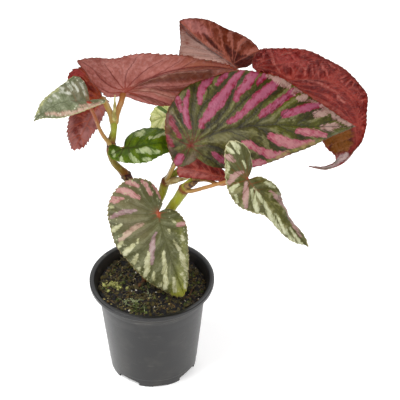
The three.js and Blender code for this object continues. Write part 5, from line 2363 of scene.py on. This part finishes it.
TOP_RED_VEINS = (
    (0.9, (233, 65), (224, 55), (212, 47), (200, 40), (192, 33), (190, 24)),
    (0.6, (212, 47), (199, 42), (188, 31), (184, 22)),
    (0.9, (232, 64), (224, 52), (222, 43), (220, 34), (217, 25)),
    (0.8, (226, 54), (216, 44), (209, 35), (206, 27), (203, 21)),
    (0.7, (222, 50), (213, 39), (210, 29), (209, 22)), (0.9, (233, 62), (237, 50), (241, 42), (246, 38)),
    (0.9, (233, 63), (246, 56), (254, 52), (258, 50)), (0.8, (232, 60), (232, 46), (230, 32)),
    (0.8, (233, 66), (215, 61), (203, 60), (188, 63)), (0.8, (233, 66), (215, 56), (200, 53), (184, 52)),
    (0.7, (232, 65), (213, 52), (196, 47), (183, 43)),
)
TOP_RED_MARKS = (
    Marks("rosy_top", rgb(150, 80, 76), rgb(194, 128, 124), (
        ((184, 22, 4), (192, 26, 7), (202, 30, 6), (210, 34, 3)),
    ), soft=3, cover=0.6),
    # painted light on the half of the folded blade that faces the lamps
    Marks("pale_half", rgb(196, 138, 124), rgb(226, 182, 170), (
        ((181, 40, 3), (184, 48, 5), (198, 53, 8), (212, 58, 7), (225, 65, 4)),
        ((182, 32, 1.5), (190, 40, 3), (204, 47, 4), (218, 56, 4)), ((183, 36, 3), (184, 56, 4)),
    ), soft=1.5, cover=0.9),
    # painted shade on the half that faces away and in its creases
    Marks("dark_folds", rgb(58, 24, 12), rgb(88, 42, 26), (
        ((236, 60, 5), (245, 61, 6), (254, 60, 4)), ((226, 46, 1), (230, 52, 3), (236, 56, 4)),
        ((204, 34, 0.7), (214, 46, 1.6), (221, 54, 0.8)),
        ((186, 32, 0.5), (194, 38.5, 1), (203, 44, 1), (212, 50, 1), (222, 56, 0.8)),
    ), soft=1.2, cover=0.8),
)
TOP_RED = Leaf(
    "top_red", (80, 62, 302), (-169, 48, 73), ((13, 3, -3), (38, 1, -5), (55, 0, -4), (78, -1, 0)),
    (
        (0, -1, 2, 0), (0, -6, 9, 3), (0, -6, 19, 5), (0, -1, 26, 7), (0.04, 11, 27, 9), (0.1, 24, 24, 11),
        (0.22, 40, 18, 11), (0.4, 55, 15, 8), (0.6, 67, 10, 4), (0.8, 74, 4, 2),
    ),
    (
        (0, -1, -5, 0), (0, -2, -18, 4), (0, 7, -32, 7), (0.06, 23, -38, 8), (0.16, 39, -36, 8),
        (0.34, 53.5, -22, 6), (0.6, 66, -11.5, 3),
    ),
    hidden_upper(),
    Skin(
        base=rgb(172, 102, 88), shade=rgb(114, 58, 44), light=rgb(194, 128, 114), stroke=0.15,
        vein=rgb(178, 104, 86), gloss=0.14, vein_near=rgb(186, 112, 94), rim=rgb(104, 42, 32),
        vein_width=0.6, vein_cover=0.6, net_cover=0.12, depth=0.6, relief=0.6, marks=TOP_RED_MARKS,
    ),
    seed=26, quilt=1.3, crinkle=1.0, spacing=1.0, veins=TOP_RED_VEINS,
)

MID_GREEN_MARKS = (
    Marks("silver_marks", rgb(146, 164, 104), rgb(190, 202, 154), (
        ((137, 134, 2.4), (140, 134, 2.6), (143, 132, 2)), ((150, 138, 1), (158, 136, 1.3), (166, 134, 1)),
        ((138, 151, 2), (145, 150, 2.8), (152, 152, 2.6), (158, 152, 1.5)),
        ((130, 155, 1.6), (134, 160, 2.2), (138, 164, 1.6)), ((144, 159, 1.8), (150, 160, 2)),
        ((120, 158, 1.6), (122, 163, 2)), ((113, 151, 1.3), (114, 156, 1.5)),
    ), ragged=5.0),
)
MID_GREEN = Leaf(
    "mid_green", (-22, -16, 268), (14, -8, 25), ((8, 0, 1), (21, 2, 2), (38, 4, 1), (53, 2, -3)),
    (
        (0, 1, 1, 0), (0, 3, 11, -2), (0, 9, 19, -4), (0.06, 20, 23.5, -5), (0.2, 32, 23, -5),
        (0.42, 42, 20, -4), (0.7, 50, 13, -3),
    ),
    (
        (0, -2, -1, 0), (0, -5, 3, -1), (0, -10, 5, -3), (0, -13, 0, -5), (0, -12, -6, -6),
        (0, -4, -10, -7), (0.08, 9, -12, -7), (0.22, 23, -11.5, -6), (0.42, 33, -7, -5),
        (0.68, 45, -1.5, -4),
    ),
    Skin(
        base=rgb(102, 126, 20), shade=rgb(78, 98, 12), light=rgb(128, 150, 46), vein=rgb(66, 86, 14),
        vein_near=rgb(70, 60, 26), rim=rgb(116, 134, 50), rim_width=0.7, vein_cover=0.6, roughness=0.4,
        gloss=0.14, relief=0.35, marks=MID_GREEN_MARKS,
    ),
    Skin(
        base=rgb(150, 164, 104), shade=rgb(118, 132, 74), light=rgb(172, 182, 128), vein=rgb(128, 132, 84),
        vein_near=rgb(150, 110, 72), rim=rgb(150, 164, 96),
    ),
    seed=29, quilt=0.8, tooth=0.8, spacing=0.9,
)

BACK_PALE = Leaf(
    "back_pale", (33, 52, 260), (-177, -15, -30), ((7, 0, 1), (20, -1, 1), (34, 0, -1)),
    ((0, -1, 2, 0), (0, 3, 10, -2), (0.12, 15, 15, -3), (0.36, 26, 15, -2), (0.66, 34, 8, -1)),
    ((0, -1, -2, 0), (0, 2, -11, -2), (0.12, 13, -18, -3), (0.36, 24, -16, -2), (0.66, 31, -9, -1)),
    Skin(
        base=rgb(226, 228, 158), shade=rgb(190, 198, 118), light=rgb(244, 244, 188), vein=rgb(126, 140, 66),
        vein_near=rgb(150, 120, 80), rim=rgb(176, 180, 112), vein_cover=0.6,
        marks=(
            Marks("green_sliver", rgb(72, 96, 40), rgb(96, 118, 56), (
                ((159, 107, 1.6), (169, 114, 1.8)),
            ), ragged=2.0),
        ),
    ),
    Skin(
        base=rgb(226, 226, 160), shade=rgb(192, 196, 122), light=rgb(242, 242, 190),
        vein=rgb(180, 168, 104), vein_near=rgb(170, 120, 90), rim=rgb(176, 170, 112),
    ),
    seed=32, quilt=0.6, tooth=1.3, spacing=0.9,
)

UNDER_RED_MARKS = (
    # painted shadow where the big striped leaf overhangs this one
    Marks("dark_top", rgb(96, 22, 16), rgb(132, 42, 34), (
        ((197, 159, 3), (208, 164, 4), (222, 170, 4)),
    ), soft=4, cover=0.7),
    Marks("mauve_low", rgb(150, 76, 74), rgb(186, 118, 112), (
        ((178, 169, 4), (192, 173, 4), (206, 176, 2)),
    ), soft=4, cover=0.7),
)
UNDER_RED = Leaf(
    "under_red", (72, -25, 242), (175, 6, 85), ((13, 3, -1), (26, 6, -2), (39, 5, -2), (47, 0, 0)),
    (
        (0, 1, 3, 0), (0, 7, 11, -1), (0.15, 17, 18, 0), (0.35, 29, 19, 1), (0.6, 39, 13, 1),
        (0.82, 46, 5, 1),
    ),
    (
        (0, -1, -3, 0), (0, 2, -5, -1), (0.15, 13, -5, -1), (0.35, 25, -5, -1), (0.6, 37, -6, 0),
        (0.82, 45, -6, 0),
    ),
    hidden_upper(),
    Skin(
        base=rgb(164, 78, 68), shade=rgb(116, 42, 34), light=rgb(192, 118, 104), vein=rgb(176, 88, 76),
        gloss=0.14, vein_near=rgb(190, 96, 74), rim=rgb(128, 44, 34), vein_width=0.8, vein_cover=0.45,
        net_cover=0.2, depth=0.5, stroke=0.7, marks=UNDER_RED_MARKS,
    ),
    seed=35, quilt=0.5, crinkle=0.9, tooth=1.0, spacing=0.9,
)

STEM_BARK = Bark(
    (
        (0.0, rgb(176, 182, 64)), (0.3, rgb(160, 162, 60)), (0.5, rgb(142, 122, 54)),
        (0.72, rgb(132, 82, 50)), (0.95, rgb(76, 46, 28)),
    ),
    rgb(204, 200, 116),
)

STALK_SKIN = Bark(
    (
        (0.0, rgb(170, 168, 72)), (0.3, rgb(190, 160, 90)), (0.55, rgb(184, 134, 80)),
        (0.8, rgb(172, 98, 64)), (1.0, rgb(150, 52, 40)),
    ),
    rgb(210, 172, 120), 0.34,
)

CANES = (
    Cane("left", (
        (-5, 8, 62, 4.2, 0.85), (-6, 8, 95, 4.2, 0.85), (-10, 6, 160, 3.8, 0.7), (-17, 3, 214, 3.5, 0.75),
        (-21.5, 3, 224, 4.9, 0.74), (-26, 2, 231, 3.4, 0.6), (-32, 1, 240, 3, 0.5), (-35, 0, 251, 3.1, 0.5),
        (-34, 0, 262, 4, 0.9), (-31, 0, 276, 2.8, 0.1), (-30.7, 0, 282, 3.2, 0.2),
        (-30.5, 0, 286, 2.9, 0.3),
    ), (2, 4, 8), 41, ((4, (-0.2, -1.0, 0.15)), (2, (-1.0, 0.3, 0.0)))),
    Cane("middle", (
        (0, 17, 62, 3.8, 0.6), (0, 17, 95, 3.8, 0.6), (1, 11, 150, 3.6, 0.3), (4, 6, 183, 3.7, 0.1),
        (11, 5, 202, 3.9, 0.1), (15, 5, 216, 4.3, 0.5), (26, 7, 226, 3, 0.15), (40, 11, 238, 2.8, 0.15),
        (52, 18, 250, 3.6, 0.5), (57, 21, 256, 3, 0.5),
    ), (2, 5, 8), 43, ((2, (0.6, 0.8, 0.0)),)),
    Cane("right", (
        (7, -1, 62, 4.6, 0.6), (7, -1, 95, 4.6, 0.6), (11, -2, 150, 4.4, 0.25), (17, -3, 186, 4.5, 0.05),
        (25, -5, 202, 4.5, 0.05), (32, -8, 217, 5.2, 0.45), (36, -10, 224, 3.4, 0.2),
        (40, -11, 230, 3, 0.2),
    ), (2, 5), 47, ((3, (0.9, 0.5, 0.0)),)),
)

STALKS = (
    Stalk(
        BIG_STRIPED, ((15, 5, 216), (19, -2, 230), (24, -7, 244), (32, -13, 261), (38, -24, 278)),
        (0.2, 0.6),
    ),
    Stalk(
        RIGHT_SMALL,
        ((32, -8, 217), (37, -14, 219), (51, -29, 234), (69, -42, 250), (82, -47, 259), (87, -64, 269)),
        (0.4, 0.75),
    ),
    Stalk(FRONT_HANGING, ((11, -2, 150), (10, -10, 168), (9, -16, 186), (8, -22, 200)), (0.2, 0.6)),
    Stalk(
        LEFT_SILVER,
        (
            (-34.5, -1, 262), (-40, -7, 275), (-43.5, -12, 288), (-46, -18, 303), (-49, -23, 316),
            (-50, -26, 324),
        ),
        (0.35, 0.95),
    ),
    Stalk(
        LEFT_BACK_RED, ((-30.5, 0, 284), (-34, 7, 290), (-38, 18, 292), (-42, 30, 291)), (0.2, 0.5), 2.9,
        2.4,
    ),
    Stalk(
        LEFT_BIG_RED, ((-30.5, 1, 284), (-27.5, 5, 293), (-24, 11, 300), (-23, 18, 303)), (0.35, 0.7), 2.7,
        2.6,
    ),
    Stalk(
        RIGHT_BIG_RED, ((56, 20, 254), (72, 25, 266), (92, 32, 280), (108, 41, 288), (112, 54, 292)),
        (0.4, 0.8),
    ),
    Stalk(TOP_RED, ((51, 17, 249), (57, 32, 262), (69, 50, 280), (78, 57, 293), (80, 62, 302)), (0.4, 0.8)),
    Stalk(MID_GREEN, ((-34, 0, 262), (-29, -7, 260), (-25, -11, 262), (-22, -16, 268)), (0.6, 0.3)),
    Stalk(
        BACK_PALE, ((14, 5, 214), (22, 20, 225), (30, 38, 242), (33, 48, 252), (33, 52, 260)), (0.2, 0.4),
    ),
    Stalk(
        UNDER_RED,
        ((40, -11, 229), (52, -16, 233), (64, -24, 234), (70, -28, 238), (73, -27, 241), (72, -25, 242)),
        (0.4, 0.8),
    ),
)

HUSKS = (
    Husk(
        "left", ((-30.5, 0, 284, 2.2), (-30, 1, 296, 1.6), (-29, 2, 313, 0.5)), (0.2, -1.0, 0.0), 51,
        rgb(160, 146, 78), rgb(212, 204, 138),
    ),
    Husk(
        "right", ((34, -11, 222, 3.4), (40, -18, 230, 2.4), (46, -21, 236, 0.4)), (0.0, -1.0, 0.3), 53,
        rgb(66, 38, 22), rgb(156, 122, 70),
    ),
    Husk(
        "middle", ((15, 4, 216, 3.6), (24, 0, 221, 3.0), (36, -3, 225, 0.5)), (0.0, -1.0, 0.4), 57,
        rgb(176, 150, 92), rgb(220, 206, 150),
    ),
)


def main() -> None:
    """Builds the plant, the pot and the studio."""
    logging.basicConfig(level=logging.INFO, format="%(message)s")
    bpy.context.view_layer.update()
    Pot().build(Plastic())
    Soil().build()
    for cane in CANES:
        cane.build(STEM_BARK)
    for stalk in STALKS:
        stalk.leaf.build()
        stalk.build(STALK_SKIN)
    for husk in HUSKS:
        husk.build()
    Studio().build()
    VIEW.add_camera()


if __name__ == "__main__":
    main()
